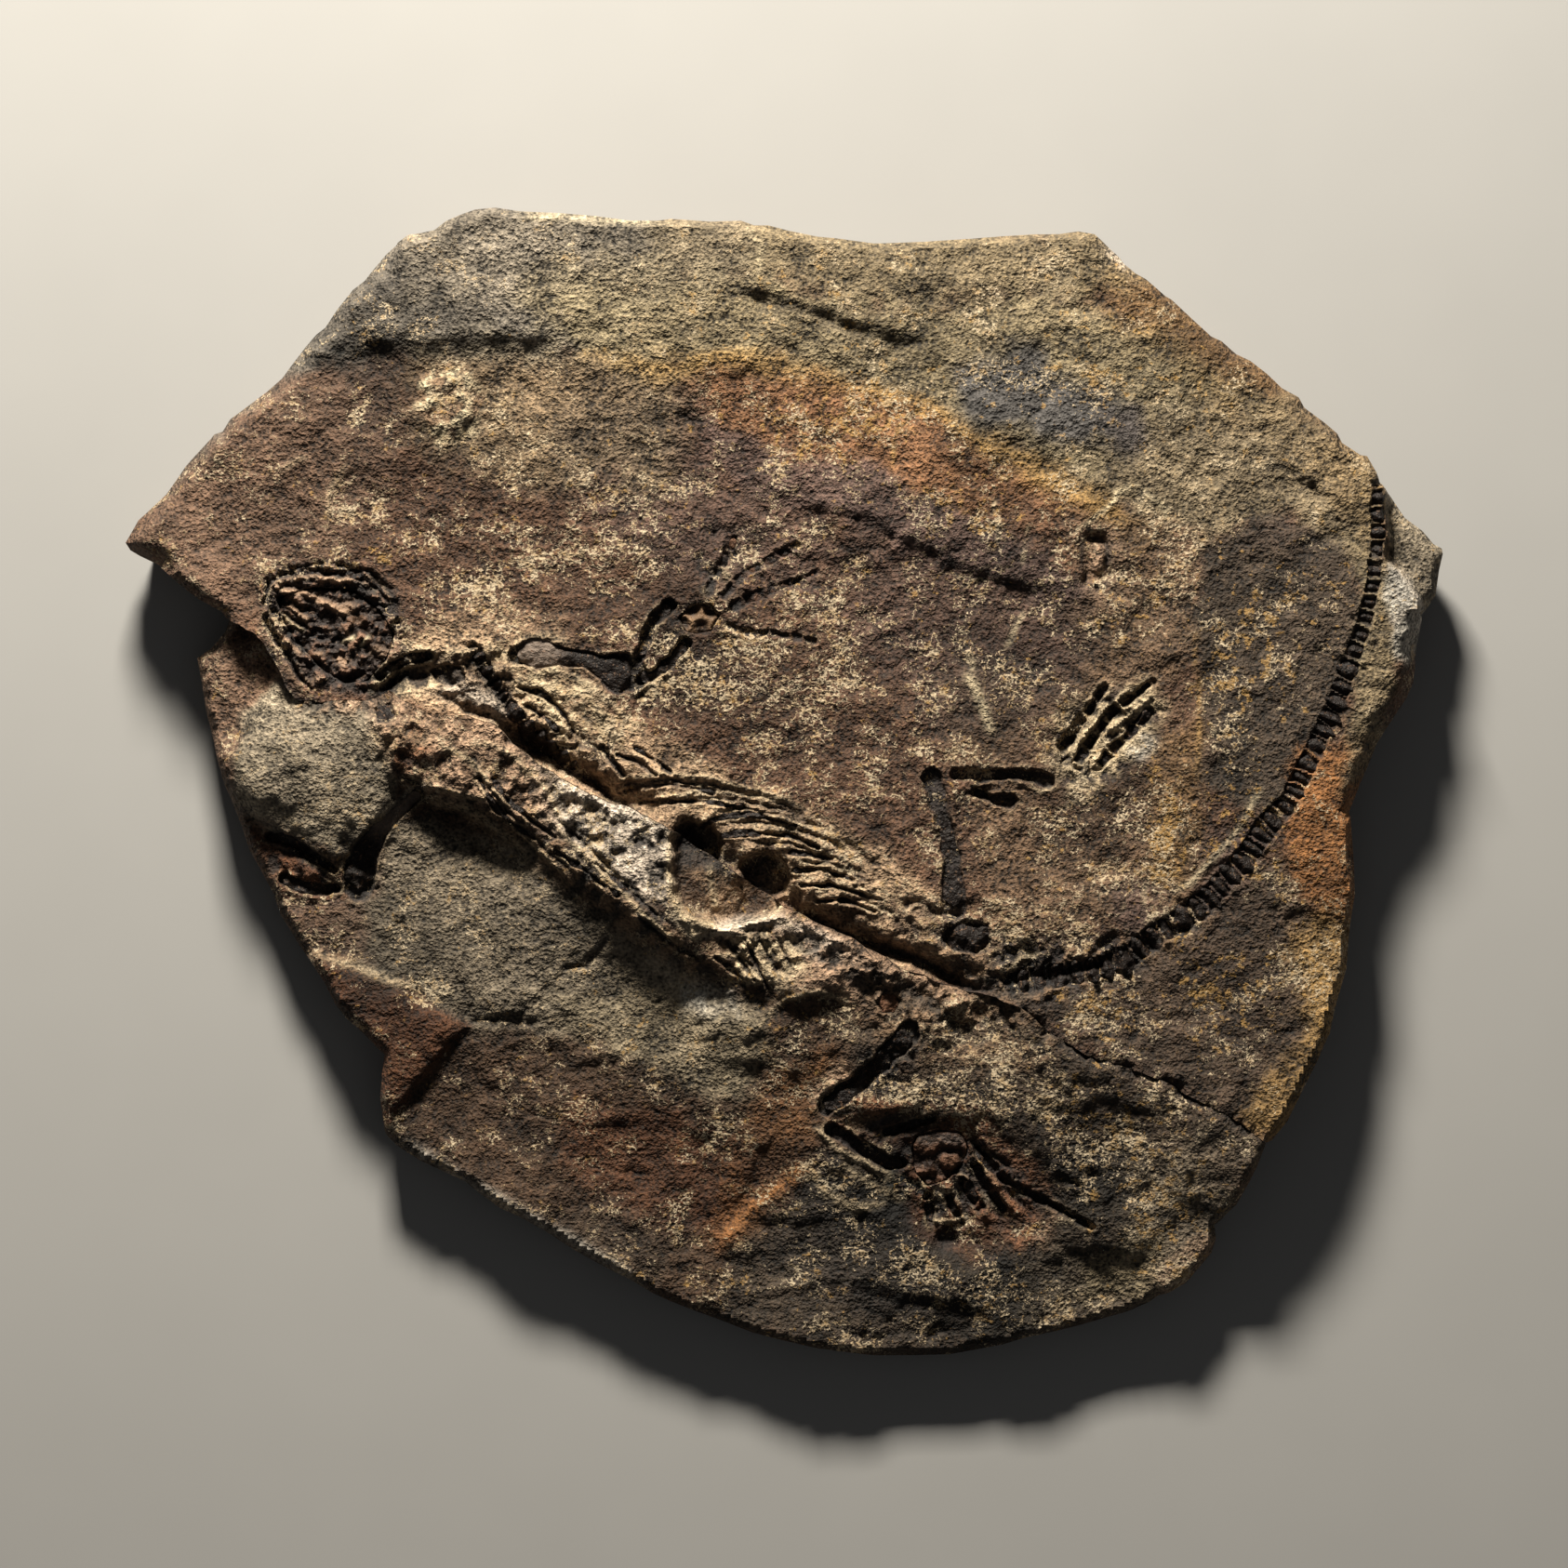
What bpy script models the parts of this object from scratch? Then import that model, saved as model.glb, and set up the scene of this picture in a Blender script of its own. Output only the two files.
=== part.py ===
import math

import bmesh
import bpy
import numpy as np
from mathutils import Vector
from mathutils.bvhtree import BVHTree
from mathutils.geometry import delaunay_2d_cdt

# A small reptile's skeleton in a split slab of stone, lying with the fossil face up.
# X runs to the right and Y to the top of the slab. Z runs up from the flat underside.
# Every point, width and height below is in millimetres.

MM = 0.001
CLEARANCE = 0.3
BREAK_GAP = CLEARANCE * 1.2

# Stone: spacing of the points on its upper face, and how its edge falls and tucks in below
SURFACE_PITCH = 11.0
SPREAD_ROOM = SURFACE_PITCH * 0.6
CLOSEST_POINTS = 2.2
HOLLOW_REACH = 1.3
LEDGE_SLOPE = 1.4
EDGE_MARGIN = 3.0
FURTHEST = 180.0
ROUNDED_EDGE = 1.6
EDGE_FALL = 4.0
BEVEL_WIDTH = 4.6
BEVEL_FALL = 8.0
UNDERCUT = 7.0
LEVEL_REACH = 12.0

# Ledges are this sharp at their line, and fade out over this share of it at each end
LEDGE_SHARPNESS = 0.8
LEDGE_FADE = 0.15

# Bones lie just under the face, narrower at the floor, with a shallow channel along the top
BONE_SINK = 0.3
FLOOR_SHARE = 0.72
CHANNEL_SHARE = 0.4
CHANNEL_DEPTH = 0.7
FLAT_SINK = 0.4
FLAT_FLOOR_SHARE = 0.84
FLAT_RIDGE_SHARE = 0.8
FLAT_RIDGE = 0.2
FLAT_HOLLOW_SHARE = 0.45
FLAT_HOLLOW = 0.8

# Troughs that the bones lie in
TROUGH_GAP = CLEARANCE * 1.5
TROUGH_FLARE = 0.5
TROUGH_ABOVE = 6.0

# Outer edge of the slab, clockwise from the west end of the break to its east end
UPPER_EDGE = [
    (-149.25, 44), (-151, 46.25), (-157, 49.5), (-162.5, 53.75), (-168, 58.75), (-173.25, 61.25),
    (-177, 64.75), (-173.5, 70.75), (-166, 77.75), (-160.75, 85.25), (-153, 93.75), (-148.75, 97.75),
    (-143.75, 101.5), (-136.75, 107), (-131.25, 113.5), (-120, 127), (-112.5, 134.75), (-106.75, 141.75),
    (-100.75, 146.75), (-93.75, 148), (-87, 152), (-77.5, 154), (-70.75, 153), (-50.5, 151.75),
    (-34, 150.5), (-20, 150.25), (-11.75, 150.5), (1.25, 147.75), (14.25, 145.75), (23.75, 144.5),
    (37.75, 145), (59, 146.5), (82.75, 147), (86.75, 143.25), (90.75, 139), (103.5, 129.5),
    (114, 119.75), (129, 109.75), (137.5, 103.5), (147.75, 93.75), (154, 88), (158.25, 83.5),
    (162.5, 77.5), (166.5, 71.5), (171.25, 68), (177, 62.5), (174.75, 50.5), (171, 45.5),
    (169.25, 36.25), (168.5, 27), (163.75, 18.5), (158.75, 10.75), (154, -0.5), (151.25, -7.5),
    (152.25, -19.75), (152.75, -29.5), (150.5, -49.5), (146, -66.75), (142.25, -75), (134.75, -90.25),
    (129, -96.25),
]

# Outer edge clockwise from the east end of the break to its west end
LOWER_EDGE = [
    (129, -96.25), (126.75, -102.25), (124, -108), (117.5, -117), (115.5, -118.75), (116, -122.25),
    (112, -129.5), (108, -134.25), (100.5, -137.75), (92, -142.25), (77, -146.5), (64.25, -149.25),
    (44.25, -153.75), (24.25, -154), (9, -152), (-8.75, -147.75), (-17, -144.5), (-30.25, -139.5),
    (-41, -133.75), (-57, -125.25), (-76.75, -114), (-86, -107), (-98.25, -101.25), (-107.5, -94),
    (-108.75, -84.25), (-107.5, -72.75), (-118.25, -62.5), (-123.75, -53.25), (-133, -39.25),
    (-137.5, -29.5), (-146.25, -11), (-150.5, 0), (-154.25, 14.25), (-156.75, 27.25), (-158, 33.75),
    (-154.25, 36.5), (-150.5, 40.75), (-149.25, 44),
]

# The break across the slab, west to east
BREAK = [
    (-149.25, 44), (-142, 40.5), (-139.5, 37.75), (-136.5, 32.75), (-133, 26.25), (-130.5, 22.75),
    (-124.75, 21.5), (-111, 22.75), (-106, 24.5), (-101, 22), (-94.75, 18.5), (-84.75, 18.25),
    (-78.5, 16.25), (-71, 9.5), (-60.75, 1.75), (-49.75, -3.75), (-36.75, -8.5), (-27.25, -14.25),
    (-13.5, -23.5), (0.25, -33), (10.75, -38), (22.75, -44.5), (34.75, -50.75), (52.25, -56.25),
    (63, -60.25), (72.5, -67.5), (82, -73), (99.75, -78.75), (118.5, -88.75), (129, -96.25),
]

# Height of the upper face above the underside at chosen spots (x, y, height)
UPPER_LEVELS = [
    (-161, 71, 25), (-136, 93, 27), (-98, 136, 30), (-56, 138, 31), (-11, 141, 31), (39, 131, 30),
    (84, 128, 29), (114, 98, 28), (144, 81, 27), (152, 61, 26), (-111, 98, 27), (-61, 98, 27),
    (-71, 56, 25), (-36, 61, 25), (-123, 71, 25), (26, 91, 29), (64, 71, 28), (26, 41, 25),
    (64, 31, 25), (2, 23, 25), (-121, 41, 25), (-86, 41, 25), (102, 48, 27), (126, 36, 26),
    (89, -14, 25), (64, -29, 25), (139, -14, 26), (146, -52, 24), (126, -72, 24), (39, -22, 25),
]
LOWER_LEVELS = [
    (-123, 8, 25), (-143, 3, 22), (-150, 27, 18), (-154, 21, 15), (-146, -14, 15), (-86, -27, 20),
    (-61, -52, 19), (-98, -24, 19), (-123, -39, 17), (-103, -64, 18), (-86, -89, 14), (-36, -109, 14),
    (-61, -77, 16), (-21, -134, 13), (-36, -69, 19), (2, -64, 20), (26, -77, 20), (64, -89, 21),
    (89, -114, 18), (39, -134, 15), (109, -124, 14), (114, -97, 20), (39, -149, 11), (89, -139, 12),
    (-81, 6, 26), (-40, -25, 27), (10, -50, 23), (60, -70, 22),
]

# Ledges: points with the high side on the left, height of the drop, reach across the line
UPPER_LEDGES = [
    ([(-134, 108), (-126, 113), (-111, 117), (-86, 118), (-71, 118), (-60, 121)], 3.4, 16),
    ([(-18, 131), (-6, 132), (14, 125), (34, 118)], 2.5, 10),
    ([(-16, 87), (-3, 78), (22, 71), (47, 58), (70, 51), (80, 47)], 3.0, 14),
    ([(124, 90), (139, 81), (154, 71)], 1.6, 8),
]
LOWER_LEDGES = [
    ([(-20, -126), (-8, -113), (6, -102)], -2.6, 12),
    ([(-30, -142), (16, -134), (42, -139), (60, -142)], 2.0, 6),
]

# Raised and sunken areas: outline, change of height, width of the slope at the edge
UPPER_PATCHES = [
    ([(161.5, 90), (161.5, 60), (165, 57), (169, 51), (171, 46), (190, 40), (190, 90)], -8.0, 1.5),
    ([(80, 67), (86, 67), (87, 55), (80, 53)], -2.4, 1.2),
    ([(-97, 108), (-84, 110), (-82, 98), (-88, 94), (-97, 96)], 1.4, 1.5),
]
LOWER_PATCHES = [
    (
        [
            (-109, 17), (-94, 30), (-60, 20), (-20, 0), (20, -35), (30, -52), (4, -58), (-11, -56),
            (-26, -49), (-38, -39), (-51, -29), (-64, -21), (-76, -13), (-86, -6), (-96, -2), (-105, 3),
        ],
        5.0,
        5.0,
    ),
    ([(-148, 8), (-136, 28), (-128, 32), (-107, 22), (-103, 6), (-106, -6), (-110, -13), (-121, -20),
      (-136, -15), (-144, -6)], 2.5, 2.0),
    ([(-130, -46), (-113, -50), (-86, -65), (-95, -76), (-107, -93), (-120, -75)], 2.5, 2.0),
    ([(14, -90), (30, -88), (60, -92), (74, -106), (72, -122), (46, -127), (22, -112)], -2.5, 4.0),
]

# Hollows along a line: points, depth, half width
UPPER_GROOVES = [
    ([(-74, 13), (-61, 4), (-37, -6)], 4.0, 4.0),
    ([(0, -31), (23, -43), (45, -52)], 4.0, 3.5),
    ([(-107, 27), (-94, 29)], 2.5, 3.0),
    ([(-27, -14), (-18, -18)], 6.0, 6.0),
    ([(-5, -24), (-5, -24.5)], 6.0, 6.0),
]
LOWER_GROOVES = [
    ([(-27, -16), (-18, -20), (-20, -32)], 6.0, 6.5),
    ([(-10, -28), (-12, -36)], 5.0, 7.0),
    ([(-95, -7), (-84, -12), (-70, -18)], 3.0, 5.0),
]

STONE = ("stone", (0.17, 0.125, 0.085), 0.86)
DARK_BONE = ("dark bone", (0.035, 0.026, 0.022), 0.55)
BROWN_BONE = ("brown bone", (0.16, 0.07, 0.045), 0.6)

# Long bones: a line of (x, y, half width), and the depth below the face
LONG_BONES = {
    "jaw_north": ([(-139, 48.5, 1.2), (-138, 54, 1.3), (-132.5, 56, 1.5), (-124.5, 56.8, 1.6),
                   (-115, 56.2, 1.6), (-109, 53.2, 1.5), (-106.5, 49, 1.1)], 2.4),
    "jaw_south": ([(-138.6, 44.5, 1.3), (-136, 38.5, 1.5), (-132.6, 33.2, 1.5), (-129.8, 28.4, 1.4),
                   (-126.5, 25.2, 1.1)], 2.4),
    "collar_bone": ([(-108.4, 28.8, 1.2), (-103.7, 32.5, 1.3), (-98.2, 34, 1.3), (-95.6, 34.3, 1)], 2.2),
    "spine_front": ([(-83.5, 36.5, 1.6), (-79.8, 30.2, 2.1), (-75.8, 24, 1.7), (-72, 18.5, 2.1),
                     (-67.2, 12.8, 1.7), (-61.5, 8.4, 1.8), (-56, 4.8, 1.3)], 3.0),
    "humerus_north": ([(-71.5, 34.2, 2.6), (-67.2, 35.2, 4.4), (-62.2, 34.2, 3), (-57.2, 33.7, 2),
                       (-51.5, 32.7, 2.4), (-47.2, 30.7, 4.4), (-44, 29.4, 5.8), (-41.4, 29, 4.6)], 3.0),
    "ulna_north": ([(-38.6, 34.6, 1.5), (-36.7, 40.5, 1.5), (-34.5, 45, 1.6), (-31, 47.7, 1.8)], 3.0),
    "radius_north": ([(-38.2, 27.6, 1.5), (-34.2, 30.2, 1.5), (-29.7, 33.7, 1.6), (-26.8, 37.2, 2)], 3.0),
    "finger_north_1": ([(-20.5, 51, 1.1), (-17.2, 58.2, 1.1), (-13.5, 65.7, 0.8)], 1.6),
    "finger_north_2": ([(-16.2, 50.6, 1.2), (-12.2, 55.2, 1.2), (-7.2, 58.2, 1), (3, 63.7, 0.8)], 1.8),
    "finger_north_3": ([(-13.8, 47.2, 1.2), (-9.7, 49.5, 1.2), (-3.5, 51.7, 1), (8.7, 56.7, 0.8)], 1.8),
    "finger_north_4": ([(-15.8, 42.6, 1.2), (-10.5, 40.5, 1.1), (-1.7, 40, 0.9), (7.7, 38.2, 0.8)], 1.8),
    "rib_north_1": ([(-71.6, 25.8, 0.8), (-67.2, 25.2, 1), (-63.5, 23.2, 1), (-59.7, 19.5, 1),
                     (-56.5, 13.7, 0.7)], 1.8),
    "rib_north_2": ([(-68.8, 20.8, 0.8), (-65.2, 18.4, 0.9), (-61, 14.6, 0.7)], 1.8),
    "rib_north_3": ([(-49, 10, 0.8), (-46, 6.2, 0.9), (-43.2, 2.2, 0.7)], 1.8),
    "rib_north_4": ([(-44.7, 7.7, 0.7), (-38.5, 6.2, 0.8), (-34.7, 2.4, 0.7)], 1.8),
    "rib_north_5": ([(-40, 9.6, 0.7), (-34.4, 6.2, 0.8), (-30.7, 2.9, 0.6)], 1.6),
    "rib_north_6": ([(-44.2, -2.4, 0.8), (-39.2, -0.7, 0.9), (-30.5, 0, 0.9), (-19.2, -2.2, 0.7)], 1.8),
    "rib_north_7": ([(-38.6, -5, 0.8), (-33.5, -4.5, 0.9), (-23.2, -4.7, 0.9), (-11.2, -6.2, 0.7)], 1.8),
    "rib_north_8": ([(-22, -11, 0.8), (-16.7, -8.7, 0.9), (-7.2, -8.4, 0.9), (3, -11.2, 0.7)], 1.8),
    "rib_north_9": ([(-17, -14, 0.8), (-11.2, -13, 0.9), (0.7, -13.7, 0.9), (8.7, -17, 0.7)], 1.8),
    "rib_north_10": ([(1.5, -18.4, 0.8), (6, -18.6, 0.9), (12.7, -20.2, 0.7)], 1.6),
    "rib_north_11": ([(2.4, -23.2, 0.8), (10.2, -22.7, 0.9), (18.2, -25.7, 0.7)], 1.6),
    "rib_north_12": ([(4.7, -27.2, 0.7), (12.7, -27.2, 0.8), (21.5, -29.7, 0.7)], 1.6),
    "rib_north_13": ([(8.7, -31.2, 0.7), (16.5, -31.2, 0.8), (24, -34, 0.7)], 1.6),
    "femur_north": ([(39.2, 1.5, 2.6), (41, -4.7, 2.2), (43.2, -12.7, 2), (44.7, -21.5, 2.2),
                     (45.2, -28, 3), (45.2, -32.6, 3.4)], 3.4),
    "tibia_north": ([(46, 2.6, 1.6), (51.5, 2, 1.6), (59, 2.7, 1.5), (66, 2.2, 1.8), (70, 0.8, 2.2)], 2.6),
    "fibula_north": ([(50.6, -1.8, 0.9), (55.2, -3.8, 1.4), (60.2, -4.6, 2.2)], 2.4),
    "toe_north_1": ([(74.5, 9.2, 1.4), (77.5, 15.2, 1.3), (80.7, 19.2, 1.2), (85.5, 25.5, 0.9)], 2.4),
    "toe_north_2": ([(78.5, 5.2, 1.4), (82.2, 12.7, 1.3), (87.4, 19.4, 1.2), (98.2, 27.2, 0.9)], 2.4),
    "toe_north_3": ([(84, 5, 1.3), (88, 9.5, 1.3), (92.5, 13.5, 1.2), (97.5, 19.5, 0.9)], 2.4),
    "humerus_south": ([(-98, -2.2, 1.4), (-103.5, -7.2, 1.6), (-108.5, -12.5, 2.2), (-112.2, -18, 3.6),
                       (-114, -23, 4.6), (-114.6, -28, 3.8)], 3.0),
    "radius_south": ([(-138.6, -13.9, 1.3), (-133.5, -15, 1.4), (-128.5, -18, 1.4), (-123.5, -21.7, 1.3),
                      (-121, -23.2, 0.8)], 2.8),
    "ulna_south": ([(-134.6, -25.4, 1.4), (-131.2, -27.2, 1.8), (-125.4, -28.4, 1.9), (-120.6, -27.8, 1.2)],
                   3.0),
    "rib_south_1": ([(-81.5, 1.7, 0.8), (-79.5, -3.2, 0.9), (-74.7, -9.2, 0.9), (-67.2, -14.7, 0.7)], 1.8),
    "rib_south_2": ([(-78, 1.2, 0.7), (-74.7, -3.7, 0.8), (-68.5, -9.2, 0.8), (-61.5, -14.2, 0.7)], 1.8),
    "rib_south_3": ([(-61, -18, 0.8), (-53.5, -23, 0.9), (-44.7, -29.7, 0.7)], 1.8),
    "rib_south_4": ([(-51, -21.2, 0.7), (-42.2, -28, 0.8), (-34.7, -34.8, 0.7)], 1.8),
    "rib_south_5": ([(-38.5, -36, 0.7), (-31, -42, 0.8), (-23.5, -46.7, 0.7)], 1.8),
    "rib_south_6": ([(-18.5, -46.2, 0.7), (-11.6, -52, 0.6)], 1.8),
    "rib_south_7": ([(-15.2, -42.2, 0.8), (-8.2, -52.5, 0.6)], 1.8),
    "rib_south_8": ([(-10.8, -41.2, 0.8), (-4.4, -55, 0.6)], 1.8),
    "femur_south": ([(33, -66.7, 3.2), (29, -71.2, 2.8), (25, -75.5, 2.6), (20.2, -79.5, 2.8),
                     (15.8, -83, 2.8), (11, -87, 2.2)], 3.6),
    "tibia_south": ([(12.6, -92.8, 1.9), (20.2, -97.5, 1.9), (26.7, -101.5, 2), (31.6, -102, 1.5)], 3.0),
    "fibula_south": ([(27.6, -93.4, 1), (33.4, -91.6, 1.1), (39.5, -89.7, 0.9)], 2.0),
    "toe_south_1": ([(38.6, -111.2, 1.2), (39.2, -118, 1)], 2.2),
    "toe_south_2": ([(43.6, -110.2, 1.2), (47.6, -118.4, 1)], 2.2),
    "toe_south_3": ([(47.8, -106.6, 1.2), (52.6, -114.2, 1)], 2.2),
    "toe_south_4": ([(51.2, -102.6, 1.2), (54.7, -108.8, 1.1), (58.4, -114, 0.9)], 2.2),
    "toe_south_5": ([(51.6, -98.4, 1.2), (56, -103.4, 1.3), (61.5, -108, 1.1), (69.7, -112, 1),
                     (82.5, -119, 0.8)], 2.2),
}

# Flat bones: outline and the depth below the face
FLAT_BONES = {
    "skull": ([(-136, 50), (-126, 52.6), (-115, 51.6), (-108.6, 46.4), (-104.6, 40), (-106.4, 34),
               (-111.6, 27.6), (-117.6, 27), (-123.6, 30.4), (-129, 36), (-134, 43)], 3.2),
    "shoulder_blade": ([(-95, 30.4), (-91, 32.2), (-86.6, 31.2), (-85.2, 27.8), (-89, 26.2),
                        (-93.4, 27.4)], 2.0),
    "wrist_north": ([(-28.2, 44.6), (-24.8, 48), (-19.8, 48), (-17.6, 45), (-19.6, 41), (-23.6, 40.2),
                     (-27, 41.2)], 2.2),
    "neck_knob": ([(-110, 19), (-108.6, 21.4), (-105.6, 21.4), (-104.2, 18.6), (-105.6, 16.2),
                   (-108.8, 16.2)], 2.4),
    "pelvis": ([(43, -38.2), (49, -36.6), (54.4, -37.6), (55.4, -41.8), (51.4, -45.6), (45, -44.8),
                (42, -41.4)], 2.4),
    "sacrum_knob": ([(24.6, -58.6), (26, -56.2), (29, -56), (30.6, -58.4), (29.4, -61.2), (26, -61.4)], 2.4),
    "ankle_south": ([(34.2, -98.6), (35.2, -94.6), (41, -93.2), (47.2, -93.6), (49.2, -97.6),
                     (47.6, -102.6), (43.4, -106.4), (38.2, -108), (35, -104.4)], 2.4),
}

# Middle of the tail from its root to its tip (x, y, half width), and how its vertebrae repeat
TAIL = [
    (61.5, -53.2, 2.7), (74, -51.2, 2.8), (82.7, -49.7, 2.7), (91.7, -46.7, 2.8), (99, -40.5, 2.9),
    (111.5, -32.7, 2.8), (122.7, -20.5, 2.7), (128.5, -11.7, 2.6), (135.2, -4, 2.4), (139.2, 4, 2.3),
    (143.2, 13, 2.2), (147.2, 21.5, 2.1), (151, 31.5, 2), (154, 40.2, 1.8), (156, 48, 1.7),
    (157.6, 56, 1.6), (158.4, 64.5, 1.5), (158.6, 73, 1.4), (158.2, 80, 1.2),
]
VERTEBRA_PITCH = 4.4
VERTEBRA_WAIST = 0.62
TAIL_DEPTH = 2.6


def clear_scene():
    for old in list(bpy.data.objects):
        bpy.data.objects.remove(old)


def make_material(finish):
    name, colour, roughness = finish
    if name in bpy.data.materials:
        return bpy.data.materials[name]
    material = bpy.data.materials.new(name)
    material.use_nodes = True
    shader = material.node_tree.nodes["Principled BSDF"]
    shader.inputs["Base Color"].default_value = (*colour, 1)
    shader.inputs["Roughness"].default_value = roughness
    shader.inputs["Metallic"].default_value = 0
    return material


# Distance from each point to a line of points, the side it is on (+1 left) and how far along it is
def line_field(x, y, points):
    nearest = np.full(x.shape, 1e9)
    side = np.ones(x.shape)
    along = np.zeros(x.shape)
    walked = 0.0
    for (ax, ay), (bx, by) in zip(points, points[1:]):
        dx = bx - ax
        dy = by - ay
        run = math.hypot(dx, dy)
        share = np.clip(((x - ax) * dx + (y - ay) * dy) / run**2, 0, 1)
        away = np.hypot(x - ax - share * dx, y - ay - share * dy)
        nearer = away < nearest
        side = np.where(nearer, np.where(dx * (y - ay) - dy * (x - ax) >= 0, 1, -1), side)
        along = np.where(nearer, walked + share * run, along)
        nearest = np.where(nearer, away, nearest)
        walked += run
    return nearest, side, along / walked


def inside(x, y, outline):
    within = np.zeros(x.shape, bool)
    for (ax, ay), (bx, by) in zip(outline, outline[1:] + outline[:1]):
        if ay != by:
            crosses = (ay > y) != (by > y)
            within ^= crosses & (x < ax + (y - ay) * (bx - ax) / (by - ay))
    return within


def eased(share):
    share = np.clip(share, 0, 1)
    return share * share * (3 - 2 * share)


# Height of the stone's upper face: its levels, then ledges, patches and hollows
def face_height(x, y, levels, ledges, patches, grooves):
    total = np.zeros(x.shape)
    weight = np.zeros(x.shape)
    for lx, ly, height in levels:
        near = 1 / ((x - lx) ** 2 + (y - ly) ** 2 + LEVEL_REACH**2) ** 2
        total += near * height
        weight += near
    height = total / weight
    for points, drop, reach in ledges:
        away, side, along = line_field(x, y, points)
        fade = eased(along / LEDGE_FADE) * eased((1 - along) / LEDGE_FADE)
        height += drop / 2 * side * np.tanh(away / LEDGE_SHARPNESS) * np.exp(-away / reach) * fade
    for outline, change, slope in patches:
        away, _, _ = line_field(x, y, outline + outline[:1])
        signed = np.where(inside(x, y, outline), away, -away)
        height += change * eased(signed / slope / 2 + 0.5)
    for points, depth, half_width in grooves:
        away, _, _ = line_field(x, y, points)
        height -= depth * np.exp(-((away / half_width) ** 2))
    return height


def toward_middle(point, by):
    x, y = point
    share = 1 - by / math.hypot(x, y)
    return x * share, y * share


# The north-west and east edges are broken off at a slant, and the rest of the edge is rounded
def edge_form(point):
    x, y = point
    slanted = (x < -104 and y > 62) or (x > 150 and -8 < y < 46)
    return (BEVEL_WIDTH, BEVEL_FALL) if slanted else (ROUNDED_EDGE, EDGE_FALL)


def shifted(points, by):
    moved = []
    for i, (x, y) in enumerate(points):
        before = points[max(i - 1, 0)]
        after = points[min(i + 1, len(points) - 1)]
        run = math.hypot(after[0] - before[0], after[1] - before[1])
        moved.append((x - (after[1] - before[1]) / run * by, y + (after[0] - before[0]) / run * by))
    return moved


# Points to carry the relief: both edges of each ledge, slope and hollow, and an even spread between
def surface_points(outline, relief):
    _, ledges, patches, grooves = relief
    lines = [shifted(points, by) for points, _, _ in ledges for by in (-LEDGE_SLOPE, LEDGE_SLOPE)]
    for edge, _, slope in patches:
        lines += [shifted(edge + edge[:1], by) for by in (-slope, slope)]
    for points, _, half_width in grooves:
        reach = half_width * HOLLOW_REACH
        lines += [shifted(points, by) for by in (-reach, 0, reach)]
    on_lines = [point for line in lines for point in line]
    steps = np.arange(-FURTHEST, FURTHEST, SURFACE_PITCH)
    spread = [(x + row % 2 * SURFACE_PITCH / 2, y) for row, y in enumerate(steps) for x in steps]
    kept = []
    for spots, apart in ((on_lines, CLOSEST_POINTS), (spread, SPREAD_ROOM)):
        x, y = np.array(spots).T
        away, _, _ = line_field(x, y, outline + outline[:1])
        for spot, room, held in zip(spots, away, inside(x, y, outline)):
            if held and room > EDGE_MARGIN and all(math.dist(spot, other) > apart for other in kept):
                kept.append(spot)
    return kept


# One half of the slab: a relief on top, an edge that falls away, and a flat underside
def make_slab(name, edge, crack, relief):
    rim = []
    for point in [crack[-1], *edge[1:-1], crack[0]]:
        width, fall = edge_form(point)
        rim.append((toward_middle(point, width), point, toward_middle(point, UNDERCUT), fall))
    for point in crack[1:-1]:
        rim.append((point, point, point, EDGE_FALL))
    outline = [top for top, _, _, _ in rim]
    spots = outline + surface_points(outline, relief)
    ring = [(i, (i + 1) % len(outline)) for i in range(len(outline))]
    places, _, triangles, origins, _, _ = delaunay_2d_cdt([Vector(p) for p in spots], ring, [], 1, 0.001)
    x = np.array([p.x for p in places])
    y = np.array([p.y for p in places])
    z = face_height(x, y, *relief)
    bm = bmesh.new()
    verts = [bm.verts.new((x[i] * MM, y[i] * MM, z[i] * MM)) for i in range(len(places))]
    for triangle in triangles:
        bm.faces.new([verts[i] for i in triangle])
    bmesh.ops.recalc_face_normals(bm, faces=bm.faces[:])
    if sum(face.normal.z for face in bm.faces) < 0:
        bmesh.ops.reverse_faces(bm, faces=bm.faces[:])
    surface = BVHTree.FromBMesh(bm)
    form = {}
    for vert, sources in zip(verts, origins):
        if sources and sources[0] < len(rim):
            form[vert] = rim[sources[0]]
    loop = [edge for edge in bm.edges if edge.is_boundary]
    for level in ("waist", "base"):
        made = bmesh.ops.extrude_edge_only(bm, edges=loop)["geom"]
        fresh = {v for v in made if isinstance(v, bmesh.types.BMVert)}
        loop = [e for e in made if isinstance(e, bmesh.types.BMEdge)]
        above = {}
        for vert in fresh:
            older = [e.other_vert(vert) for e in vert.link_edges if e.other_vert(vert) not in fresh]
            above[vert] = older[0]
        for vert, older in above.items():
            _, outer, base, fall = form[older]
            form[vert] = form[older]
            if level == "waist":
                vert.co = (outer[0] * MM, outer[1] * MM, older.co.z - fall * MM)
            else:
                vert.co = (base[0] * MM, base[1] * MM, 0)
    bmesh.ops.holes_fill(bm, edges=loop, sides=0)
    bmesh.ops.recalc_face_normals(bm, faces=bm.faces[:])
    return make_object(name, bm, STONE), surface


def make_object(name, bm, finish):
    mesh = bpy.data.meshes.new(name)
    bm.to_mesh(mesh)
    bm.free()
    mesh.shade_smooth()
    mesh.set_sharp_from_angle(angle=math.radians(35))
    thing = bpy.data.objects.new(name, mesh)
    thing.data.materials.append(make_material(finish))
    bpy.context.scene.collection.objects.link(thing)
    return thing


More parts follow.
